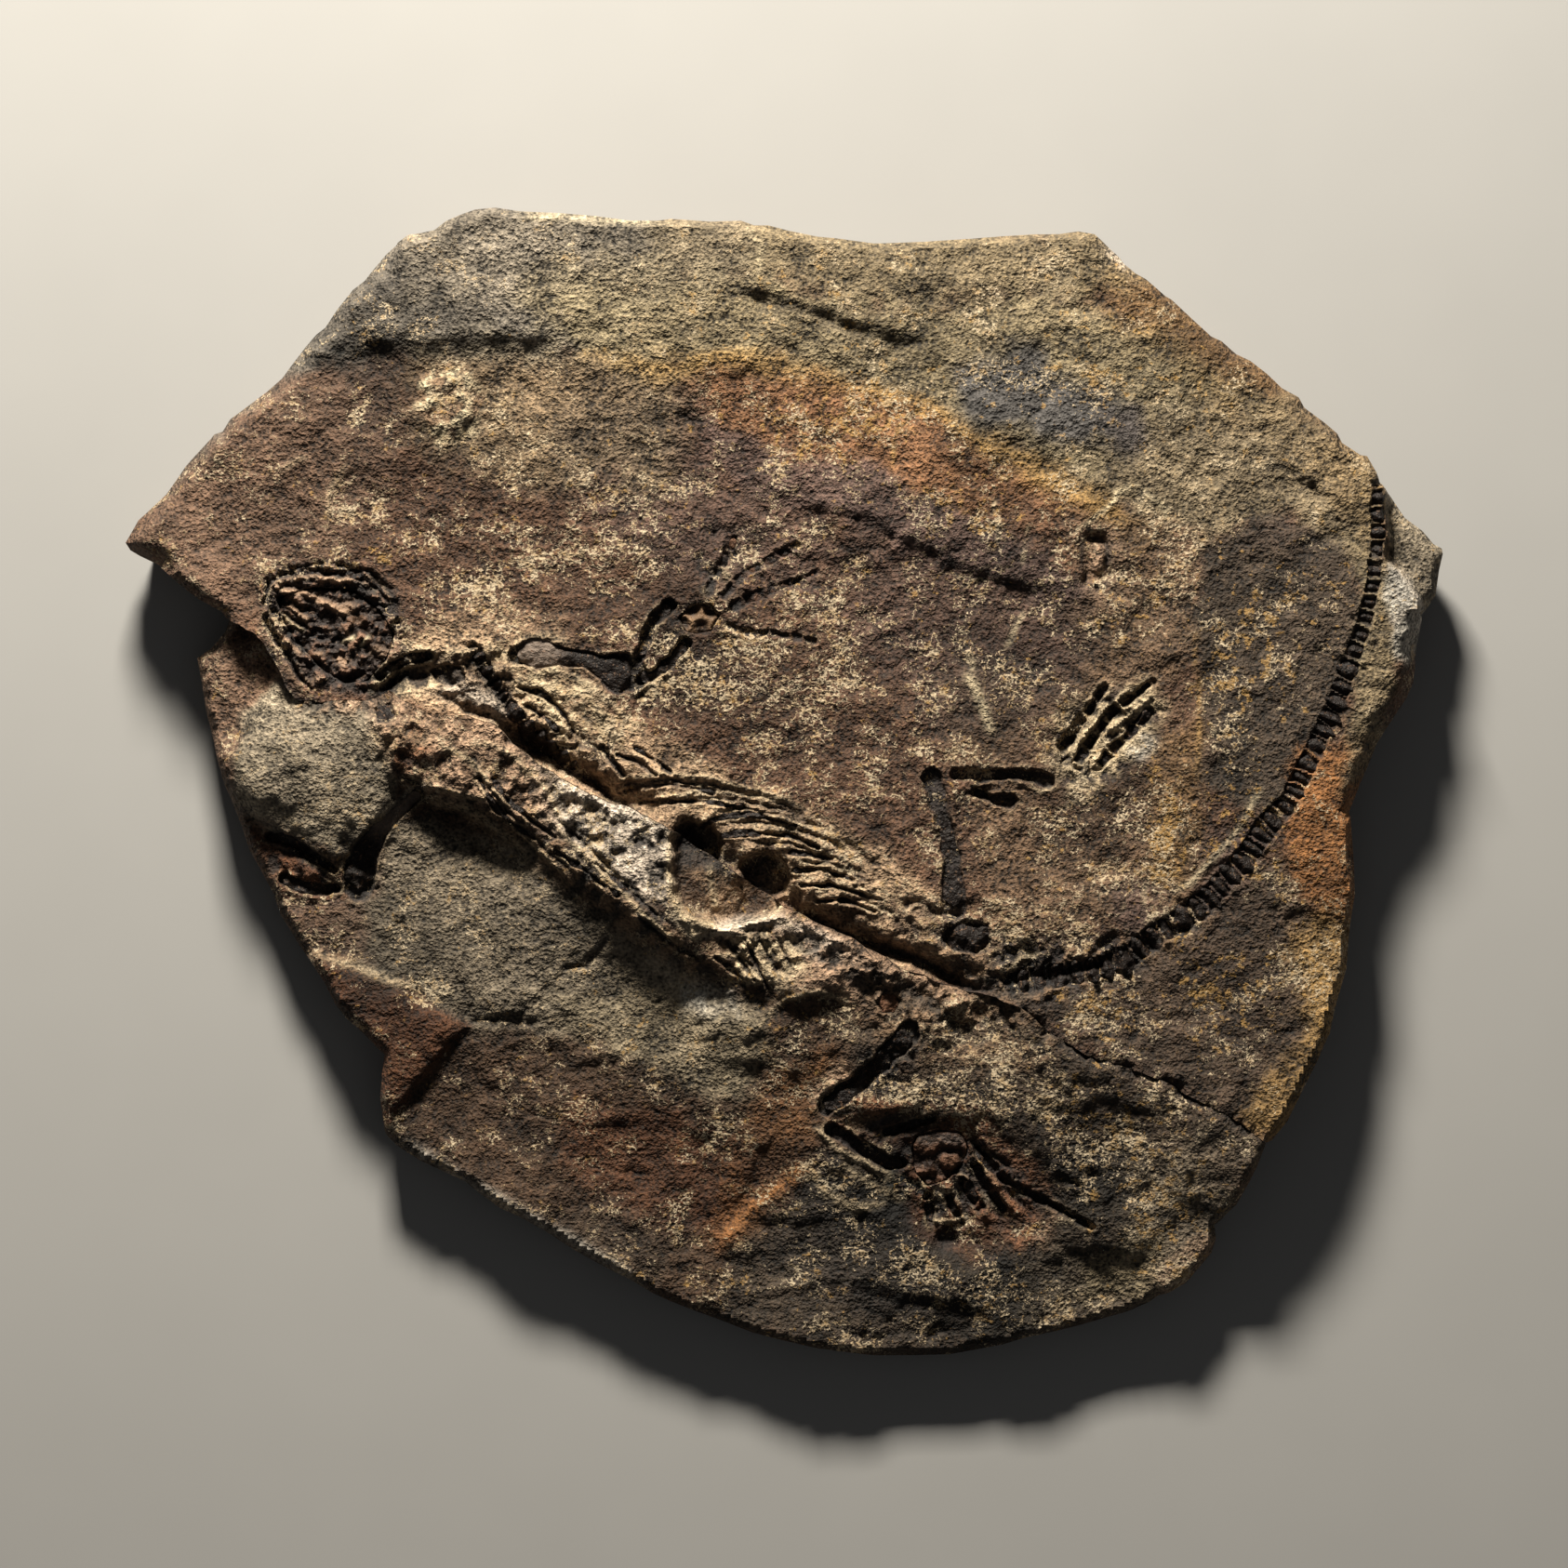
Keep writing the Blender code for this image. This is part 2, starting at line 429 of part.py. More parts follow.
# A closed body through rings of points, each ring drawn out of the face before it
def through_rings(rings):
    bm = bmesh.new()
    ring = [bm.verts.new(Vector(p) * MM) for p in rings[0]]
    face = bm.faces.new(ring)
    for places in rings[1:]:
        made = bmesh.ops.extrude_face_region(bm, geom=[face, *face.edges])["geom"]
        fresh = [v for v in made if isinstance(v, bmesh.types.BMVert)]
        face = next(f for f in made if isinstance(f, bmesh.types.BMFace))
        following = {}
        for vert in fresh:
            older = next(e.other_vert(vert) for e in vert.link_edges if e.other_vert(vert) not in fresh)
            following[ring.index(older)] = vert
        ring = [following[i] for i in range(len(places))]
        for vert, place in zip(ring, places):
            vert.co = Vector(place) * MM
    bmesh.ops.recalc_face_normals(bm, faces=bm.faces[:])
    return bm


def face_level(surface, x, y):
    hit, _, _, _ = surface.ray_cast(Vector((x * MM, y * MM, 1)), Vector((0, 0, -1)))
    return hit.z / MM


# Heading at each point of a line, halfway between the runs that meet there
def headings(line):
    turns = []
    for i in range(len(line)):
        before = Vector(line[max(i - 1, 0)][:2])
        after = Vector(line[min(i + 1, len(line) - 1)][:2])
        turns.append((after - before).normalized())
    return turns


# Rings of a bone that fills a trough, with a shallow channel along its top
def bone_rings(line, depth, levels):
    rings = []
    for (x, y, half), heading, level in zip(line, headings(line), levels):
        across = Vector((-heading.y, heading.x)) * half
        top = level - BONE_SINK
        floor = level - depth
        channel = top - CHANNEL_DEPTH
        profile = [(-1, top), (-FLOOR_SHARE, floor), (FLOOR_SHARE, floor), (1, top),
                   (CHANNEL_SHARE, channel), (-CHANNEL_SHARE, channel)]
        rings.append([(x + across.x * u, y + across.y * u, z) for u, z in profile])
    return rings


def trough_rings(line, depth, levels):
    rings = []
    last = len(line) - 1
    for i, ((x, y, half), heading, level) in enumerate(zip(line, headings(line), levels)):
        across = Vector((-heading.y, heading.x))
        reach = {0: -TROUGH_GAP, last: TROUGH_GAP}.get(i, 0)
        x += heading.x * reach
        y += heading.y * reach
        shelf = half + TROUGH_GAP
        mouth = shelf + TROUGH_FLARE
        narrow = FLOOR_SHARE * half + TROUGH_GAP
        floor = level - depth - TROUGH_GAP
        sunk = level - BONE_SINK
        above = level + TROUGH_ABOVE
        profile = [(-mouth, above), (-shelf, sunk), (-narrow, floor), (narrow, floor), (shelf, sunk),
                   (mouth, above)]
        rings.append([(x + across.x * u, y + across.y * u, z) for u, z in profile])
    return rings


def scaled(outline, share, by):
    middle = Vector((sum(p[0] for p in outline), sum(p[1] for p in outline))) / len(outline)
    grown = []
    for point in outline:
        arm = Vector(point) - middle
        arm *= share + by / arm.length
        grown.append((middle.x + arm.x, middle.y + arm.y))
    return grown


def make_cutter(name, bm, cutters):
    mesh = bpy.data.meshes.new(name)
    bm.to_mesh(mesh)
    bm.free()
    cutter = bpy.data.objects.new(name, mesh)
    cutter.hide_render = True
    cutter.display_type = "WIRE"
    cutters.objects.link(cutter)


def make_long_bone(name, line, depth, surface, cutters, finish):
    levels = [face_level(surface, x, y) for x, y, _ in line]
    make_object(name, through_rings(bone_rings(line, depth, levels)), finish)
    make_cutter("trough_" + name, through_rings(trough_rings(line, depth, levels)), cutters)


# A flat bone's rings go from its floor to its rim, up to a low ridge and down to a hollow middle
def make_flat_bone(name, outline, depth, surface, cutters, finish):
    forms = [(FLAT_FLOOR_SHARE, 0, -depth), (1, 0, -FLAT_SINK), (FLAT_RIDGE_SHARE, 0, FLAT_RIDGE),
             (FLAT_HOLLOW_SHARE, 0, -FLAT_HOLLOW)]
    holes = [(FLAT_FLOOR_SHARE, TROUGH_GAP, -depth - TROUGH_GAP), (1, TROUGH_GAP, -FLAT_SINK),
             (1, TROUGH_GAP + TROUGH_FLARE, TROUGH_ABOVE)]

    def rings(steps):
        made = []
        for share, by, above in steps:
            around = zip(scaled(outline, share, by), outline)
            made.append([(x, y, face_level(surface, *point) + above) for (x, y), point in around])
        return made

    make_object(name, through_rings(rings(forms)), finish)
    make_cutter("trough_" + name, through_rings(rings(holes)), cutters)


def resampled(line, pitch):
    points = np.array(line)
    steps = np.hypot(*np.diff(points[:, :2], axis=0).T)
    walked = np.concatenate([[0], np.cumsum(steps)])
    count = round(walked[-1] / pitch)
    stops = np.linspace(0, walked[-1], count + 1)
    return [tuple(float(np.interp(s, walked, points[:, k])) for k in range(3)) for s in stops]


def make_tail(surface, cutters):
    beads = resampled(TAIL, VERTEBRA_PITCH / 2)
    beads = [(x, y, half * (1 if i % 2 else VERTEBRA_WAIST)) for i, (x, y, half) in enumerate(beads)]
    levels = [face_level(surface, x, y) for x, y, _ in TAIL]
    walked = np.cumsum([0] + [math.dist(a[:2], b[:2]) for a, b in zip(TAIL, TAIL[1:])])
    stops = np.linspace(0, walked[-1], len(beads))
    bead_levels = [float(np.interp(s, walked, levels)) for s in stops]
    make_object("tail", through_rings(bone_rings(beads, TAIL_DEPTH, bead_levels)), DARK_BONE)
    make_cutter("trough_tail", through_rings(trough_rings(TAIL, TAIL_DEPTH, levels)), cutters)


def cut_troughs(slab, cutters):
    troughs = slab.modifiers.new("troughs", "BOOLEAN")
    troughs.operation = "DIFFERENCE"
    troughs.solver = "EXACT"
    troughs.operand_type = "COLLECTION"
    troughs.collection = cutters


def in_lower_slab(point):
    x, y = point
    lower = LOWER_EDGE + BREAK[1:-1]
    return bool(inside(np.array([x]), np.array([y]), lower)[0])


def main():
    clear_scene()
    upper_relief = (UPPER_LEVELS, UPPER_LEDGES, UPPER_PATCHES, UPPER_GROOVES)
    lower_relief = (LOWER_LEVELS, LOWER_LEDGES, LOWER_PATCHES, LOWER_GROOVES)
    upper_crack = shifted(BREAK, BREAK_GAP / 2)[::-1]
    lower_crack = shifted(BREAK, -BREAK_GAP / 2)
    upper, upper_face = make_slab("slab_upper", UPPER_EDGE, upper_crack, upper_relief)
    lower, lower_face = make_slab("slab_lower", LOWER_EDGE, lower_crack, lower_relief)
    halves = {}
    for slab, surface, name in ((upper, upper_face, "upper troughs"), (lower, lower_face, "lower troughs")):
        cutters = bpy.data.collections.new(name)
        bpy.context.scene.collection.children.link(cutters)
        cut_troughs(slab, cutters)
        halves[slab] = (surface, cutters)
    for name, (line, depth) in LONG_BONES.items():
        surface, cutters = halves[lower if in_lower_slab(line[0][:2]) else upper]
        make_long_bone(name, line, depth, surface, cutters, DARK_BONE)
    for name, (outline, depth) in FLAT_BONES.items():
        surface, cutters = halves[lower if in_lower_slab(outline[0]) else upper]
        finish = BROWN_BONE if name == "sacrum_knob" else DARK_BONE
        make_flat_bone(name, outline, depth, surface, cutters, finish)
    make_tail(*halves[upper])


main()
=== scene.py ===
import math

import bmesh
import bpy
import numpy as np
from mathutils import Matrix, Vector


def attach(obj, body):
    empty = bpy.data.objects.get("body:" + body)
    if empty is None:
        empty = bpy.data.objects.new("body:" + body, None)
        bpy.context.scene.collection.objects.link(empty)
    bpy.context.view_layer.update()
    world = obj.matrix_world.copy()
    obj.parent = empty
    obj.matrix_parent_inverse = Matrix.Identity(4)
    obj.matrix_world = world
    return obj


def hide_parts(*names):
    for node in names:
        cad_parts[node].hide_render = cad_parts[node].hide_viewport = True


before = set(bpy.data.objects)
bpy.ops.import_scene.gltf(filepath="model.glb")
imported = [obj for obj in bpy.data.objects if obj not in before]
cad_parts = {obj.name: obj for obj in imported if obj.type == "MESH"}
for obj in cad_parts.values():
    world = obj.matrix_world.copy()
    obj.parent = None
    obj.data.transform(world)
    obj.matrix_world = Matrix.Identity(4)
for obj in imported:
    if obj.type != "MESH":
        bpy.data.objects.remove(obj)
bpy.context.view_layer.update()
print("frame loaded with", len(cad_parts), "nodes")

# Shapes are worked out in millimetres: X to the right, Y to the top edge, Z up from the underside.
# at() takes numbers in pairs, counted across and down the view from above, four to a millimetre.

mm = 0.001


def at(*numbers):
    return [((across - 844) / 4, (843 - down) / 4) for across, down in zip(numbers[::2], numbers[1::2])]


# Sums used by every surface.

def eased(share):
    share = np.clip(share, 0, 1)
    return share * share * (3 - 2 * share)


def lineField(x, y, points):  # distance, side (+1 left) and share of the way along
    nearest = np.full(x.shape, 1e9)
    side = np.ones(x.shape)
    along = np.zeros(x.shape)
    walked = 0.0
    for start, end in zip(points, points[1:]):
        dx = end[0] - start[0]
        dy = end[1] - start[1]
        run = math.hypot(dx, dy)
        share = np.clip(((x - start[0]) * dx + (y - start[1]) * dy) / run**2, 0, 1)
        away = np.hypot(x - start[0] - share * dx, y - start[1] - share * dy)
        nearer = away < nearest
        side = np.where(nearer, np.where(dx * (y - start[1]) - dy * (x - start[0]) >= 0, 1, -1), side)
        along = np.where(nearer, walked + share * run, along)
        nearest = np.where(nearer, away, nearest)
        walked += run
    return nearest, side, along / walked


def nearLine(x, y, points, reach):  # the same for the points within reach only
    across = [p[0] for p in points]
    up = [p[1] for p in points]
    near = np.flatnonzero((x > min(across) - reach) & (x < max(across) + reach)
                          & (y > min(up) - reach) & (y < max(up) + reach))
    return (near, *lineField(x[near], y[near], points))


def inside(x, y, outline):
    within = np.zeros(x.shape, bool)
    for (ax, ay), (bx, by) in zip(outline, outline[1:] + outline[:1]):
        if ay != by:
            crosses = (ay > y) != (by > y)
            within ^= crosses & (x < ax + (y - ay) * (bx - ax) / (by - ay))
    return within


def areaShare(x, y, outline, slope):  # 1 inside an outline, falling to 0 over the slope
    near, away, _, _ = nearLine(x, y, outline + outline[:1], slope)
    share = np.zeros(x.shape)
    signed = np.where(inside(x[near], y[near], outline), away, -away)
    share[near] = eased(signed / slope / 2 + 0.5)
    return share


noiseTables = {}


def plainNoise(x, y, size, seed):
    if seed not in noiseTables:
        noiseTables[seed] = np.random.default_rng(seed).uniform(-1, 1, (128, 128))
    table = noiseTables[seed]
    u = x / size + 41.3
    v = y / size + 67.9
    column = np.floor(u).astype(int)
    row = np.floor(v).astype(int)
    right = eased(u - column)
    up = eased(v - row)
    column %= 127
    row %= 127
    low = table[column, row] * (1 - right) + table[column + 1, row] * right
    high = table[column, row + 1] * (1 - right) + table[column + 1, row + 1] * right
    return low * (1 - up) + high * up


def layeredNoise(x, y, size, seed, layers=4, fade=0.55):
    total = np.zeros(x.shape)
    share = 1.0
    whole = 0.0
    for layer in range(layers):
        turn = 0.6 + 1.1 * layer
        across = x * math.cos(turn) - y * math.sin(turn)
        up = x * math.sin(turn) + y * math.cos(turn)
        total += share * plainNoise(across, up, size / 1.9**layer, seed + layer)
        whole += share
        share *= fade
    return total / whole


def smoothLine(line, step):  # even steps along a line, with its corners rounded
    points = np.array(line, float)
    walked = np.concatenate([[0], np.cumsum(np.hypot(*np.diff(points[:, :2], axis=0).T))])
    stops = np.linspace(0, walked[-1], max(3, math.ceil(walked[-1] / step)) + 1)
    places = np.stack([np.interp(stops, walked, points[:, k]) for k in range(points.shape[1])], axis=1)
    for _ in range(round(2 / step**2)):
        places[1:-1] = (places[:-2] + 2 * places[1:-1] + places[2:]) / 4
    return places


# The slab's outline, break and large relief, as in the solids.

slab = {
    "edgeFall": 3.2,
    "edgeWidth": 1.5,
    "bevelWidth": 5.0,
    "bevelFall": 7.0,
    "undercut": 7.0,
    "breakGap": 0.12,
    "breakRagged": 0.9,
    "cells": {"upper": 1.12, "lower": 1.02},
    "highest": 31.6,
    "softTop": 1.5,
    "levelReach": 12.0,
    "ledgeWander": 1.6,
    "evenFrom": 52,
    "evenReach": 16,
    "fineReach": 2.6,
    "lipMiddle": 0.2,
    "lipReach": 0.8,
    "shelfRise": 1.2,
    "sideRough": 0.9,
    "sideRings": (0.06, 0.16, 0.3, 0.46, 0.64, 0.82, 1.0),
}

outerEdge = at(136, 584, 150, 560, 162, 549, 180, 532, 201, 502, 210, 492, 227, 474, 232, 468, 241, 465, 249, 452,
    269, 437, 288, 423, 297, 415, 305, 408, 319, 389, 330, 375, 342, 361, 351, 354, 364, 335, 381, 314, 394, 304,
    401, 295, 417, 276, 430, 264, 441, 256, 455, 254, 469, 251, 482, 241, 496, 235, 513, 229, 534, 227, 561, 231,
    604, 233, 642, 236, 679, 241, 708, 241, 722, 239, 764, 242, 797, 241, 811, 246, 826, 246, 849, 252, 878, 258,
    901, 260, 939, 265, 995, 263, 1043, 260, 1080, 257, 1113, 255, 1137, 255, 1158, 252, 1175, 255, 1183, 262,
    1191, 270, 1200, 278, 1207, 287, 1219, 297, 1230, 303, 1251, 321, 1258, 325, 1278, 344, 1300, 364, 1311, 369,
    1327, 383, 1342, 390, 1360, 404, 1376, 419, 1394, 429, 1400, 440, 1421, 456, 1435, 468, 1440, 478, 1460, 491,
    1467, 492, 1477, 509, 1481, 520, 1494, 533, 1510, 557, 1529, 571, 1541, 585, 1550, 590, 1551, 596, 1547, 613,
    1543, 641, 1537, 650, 1528, 661, 1526, 673, 1521, 698, 1520, 718, 1518, 735, 1511, 751, 1499, 769, 1479, 800,
    1469, 825, 1460, 845, 1454, 861, 1449, 873, 1451, 894, 1453, 922, 1455, 961, 1450, 992, 1446, 1041, 1434, 1082,
    1428, 1110, 1413, 1143, 1399, 1171, 1383, 1204, 1366, 1225, 1360, 1228)
lowerEdge = at(1360, 1228, 1351, 1252, 1340, 1275, 1329, 1295, 1314, 1311, 1306, 1318, 1308, 1332, 1303, 1348,
    1292, 1361, 1276, 1380, 1257, 1391, 1246, 1394, 1235, 1402, 1212, 1412, 1181, 1421, 1152, 1429, 1120, 1436,
    1101, 1440, 1079, 1447, 1050, 1453, 1021, 1458, 980, 1459, 941, 1459, 909, 1455, 880, 1451, 841, 1442, 809, 1434,
    776, 1421, 751, 1412, 723, 1401, 701, 1391, 680, 1378, 644, 1360, 616, 1344, 584, 1323, 559, 1309, 537, 1299,
    516, 1284, 500, 1271, 476, 1260, 451, 1248, 426, 1232, 414, 1219, 412, 1201, 409, 1180, 411, 1155, 414, 1134,
    401, 1121, 386, 1106, 371, 1093, 360, 1078, 349, 1056, 334, 1033, 322, 1017, 312, 1000, 301, 983, 294, 961,
    279, 934, 268, 915, 259, 887, 249, 860, 242, 843, 235, 819, 227, 786, 222, 767, 217, 734, 214, 719, 212, 708,
    227, 697, 242, 680, 247, 667)
upperEdge = at(247, 667, 240, 658, 216, 645, 194, 628, 172, 608, 151, 598, 141, 592) + outerEdge
breakLine = at(247, 667, 276, 681, 286, 692, 298, 712, 312, 738, 322, 752, 345, 757, 400, 752, 420, 745, 440, 755,
    465, 769, 505, 770, 530, 778, 560, 805, 601, 836, 645, 858, 697, 877, 735, 900, 790, 937, 845, 975, 887, 995,
    935, 1021, 983, 1046, 1053, 1068, 1096, 1084, 1134, 1113, 1172, 1135, 1243, 1158, 1318, 1198, 1360, 1228)

# Levels are (x, y, height) at chosen spots. Ledges are (line, drop, reach, sharpness), with their high
# side on the left. Patches are (outline, change of height, slope), and grooves (line, depth, half width).
upperLevels = [
    (-161, 71, 25), (-136, 93, 27), (-98, 136, 30), (-56, 138, 31), (-11, 141, 31), (39, 131, 30), (84, 128, 29),
    (114, 98, 28), (144, 81, 27), (152, 61, 26), (-111, 98, 27), (-61, 98, 27), (-71, 56, 25), (-36, 61, 25),
    (-123, 71, 25), (26, 91, 29), (64, 71, 28), (26, 41, 25), (64, 31, 25), (2, 23, 25), (-121, 41, 25),
    (-86, 41, 25), (102, 48, 27), (126, 36, 26), (89, -14, 25), (64, -29, 25), (139, -14, 26), (146, -52, 24),
    (126, -72, 24), (39, -22, 25),
]
lowerLevels = [
    (-123, 8, 25), (-143, 3, 22), (-150, 27, 18), (-154, 21, 15), (-146, -14, 15), (-86, -27, 20), (-61, -52, 19),
    (-98, -24, 19), (-123, -39, 17), (-103, -64, 18), (-86, -89, 14), (-36, -109, 14), (-61, -77, 16),
    (-21, -134, 13), (-36, -69, 19), (2, -64, 20), (26, -77, 20), (64, -89, 21), (89, -114, 18), (39, -134, 15),
    (109, -124, 14), (114, -97, 20), (39, -149, 11), (89, -139, 12), (-81, 6, 26), (-40, -25, 27), (10, -50, 23),
    (60, -70, 22),
]
upperLedges = [
    ([(-134, 108), (-126, 113), (-111, 117), (-86, 118), (-71, 118), (-60, 121)], 2.6, 16, 2.8),
    ([(-18, 131), (-6, 132), (14, 125), (34, 118)], 2.2, 10, 0.8),
    ([(-16, 87), (-3, 78), (22, 71), (47, 58), (70, 51), (80, 47)], 1.2, 14, 0.6),
    ([(124, 90), (139, 81), (154, 71)], 1.2, 8, 0.6),
]
lowerLedges = [
    ([(-20, -126), (-8, -113), (6, -102)], -2.4, 12, 1.6),
    ([(-30, -142), (16, -134), (42, -139), (60, -142)], 1.4, 6, 1.4),
]
roundHole = at(796, 938, 800, 924, 812, 917, 830, 917, 844, 926, 850, 942, 842, 958, 825, 966, 806, 960)
darkHole = at(728, 890, 742, 884, 762, 890, 776, 904, 772, 930, 750, 925)
paleKnob = at(452, 400, 500, 392, 520, 430, 510, 470, 470, 478, 450, 440)
upperPatches = [
    ([(161.5, 90), (161.5, 60), (165, 57), (169, 51), (171, 46), (190, 40), (190, 90)], -8.0, 1.5),
    ([(80, 67), (86, 67), (87, 55), (80, 53)], -2.4, 1.2),
    (roundHole, -6.0, 0.9),
    (darkHole, -6.0, 1.0),
    ([(-97, 108), (-84, 110), (-82, 98), (-88, 94), (-97, 96)], 1.4, 1.5),
]
lowerPatches = [
    ([(-109, 17), (-94, 30), (-60, 20), (-20, 0), (20, -35), (30, -52), (4, -58), (-11, -56), (-26, -49), (-38, -39),
     (-51, -29), (-64, -21), (-76, -13), (-86, -6), (-96, -2), (-105, 3)], 5.0, 5.0),
    ([(-148, 8), (-136, 28), (-128, 32), (-107, 22), (-103, 6), (-106, -6), (-110, -13), (-121, -20), (-136, -15),
     (-144, -6)], 2.5, 2.0),
    ([(-130, -46), (-113, -50), (-86, -65), (-95, -76), (-107, -93), (-120, -75)], 2.5, 2.0),
    ([(14, -90), (30, -88), (60, -92), (74, -106), (72, -122), (46, -127), (22, -112)], -2.5, 4.0),
    ([(-24, -60), (-8, -59), (6, -57), (30, -50), (48, -58), (40, -72), (10, -78), (-20, -70)], 3.2, 7.0),
    (at(724, 904, 738, 890, 770, 905, 800, 930, 846, 962, 846, 974, 826, 984, 776, 994, 748, 984, 728, 966), -6.5,
     1.6),
]
upperGrooves = [
    ([(-74, 13), (-61, 4), (-37, -6)], 4.0, 4.0),
    ([(0, -31), (23, -43), (45, -52)], 4.0, 3.5),
    ([(-107, 27), (-94, 29)], 2.5, 3.0),
    ([(-24, -19), (-12, -24)], 2.5, 4.0),
]
lowerGrooves = [
    ([(-26, -17), (-20, -19)], 2.0, 3.0),
    ([(-12, -29), (-13, -33)], 2.0, 4.5),
    ([(-95, -7), (-84, -12), (-70, -18)], 3.0, 5.0),
]


def bedHeight(x, y, levels, ledges, patches, grooves):
    total = np.zeros(x.shape)
    weight = np.zeros(x.shape)
    for spotX, spotY, height in levels:
        near = 1 / ((x - spotX) ** 2 + (y - spotY) ** 2 + slab["levelReach"] ** 2) ** 2
        total += near * height
        weight += near
    height = total / weight
    x = x + slab["ledgeWander"] * layeredNoise(x, y, 9, 5, 4, 0.65)
    y = y + slab["ledgeWander"] * layeredNoise(x, y, 9, 9, 4, 0.65)
    for points, drop, reach, sharpness in ledges:
        away, side, along = lineField(x, y, points)
        fade = eased(along / 0.15) * eased((1 - along) / 0.15)
        height += drop / 2 * side * np.tanh(away / sharpness) * np.exp(-away / reach) * fade
    for outline, change, slope in patches:
        height += change * areaShare(x, y, outline, slope)
    for points, depth, halfWidth in grooves:
        away, _, _ = lineField(x, y, points)
        height -= depth * np.exp(-((away / halfWidth) ** 2))
    return height


# Bones, on the lines (x, y, half width) and outlines (x, y) of the solids.

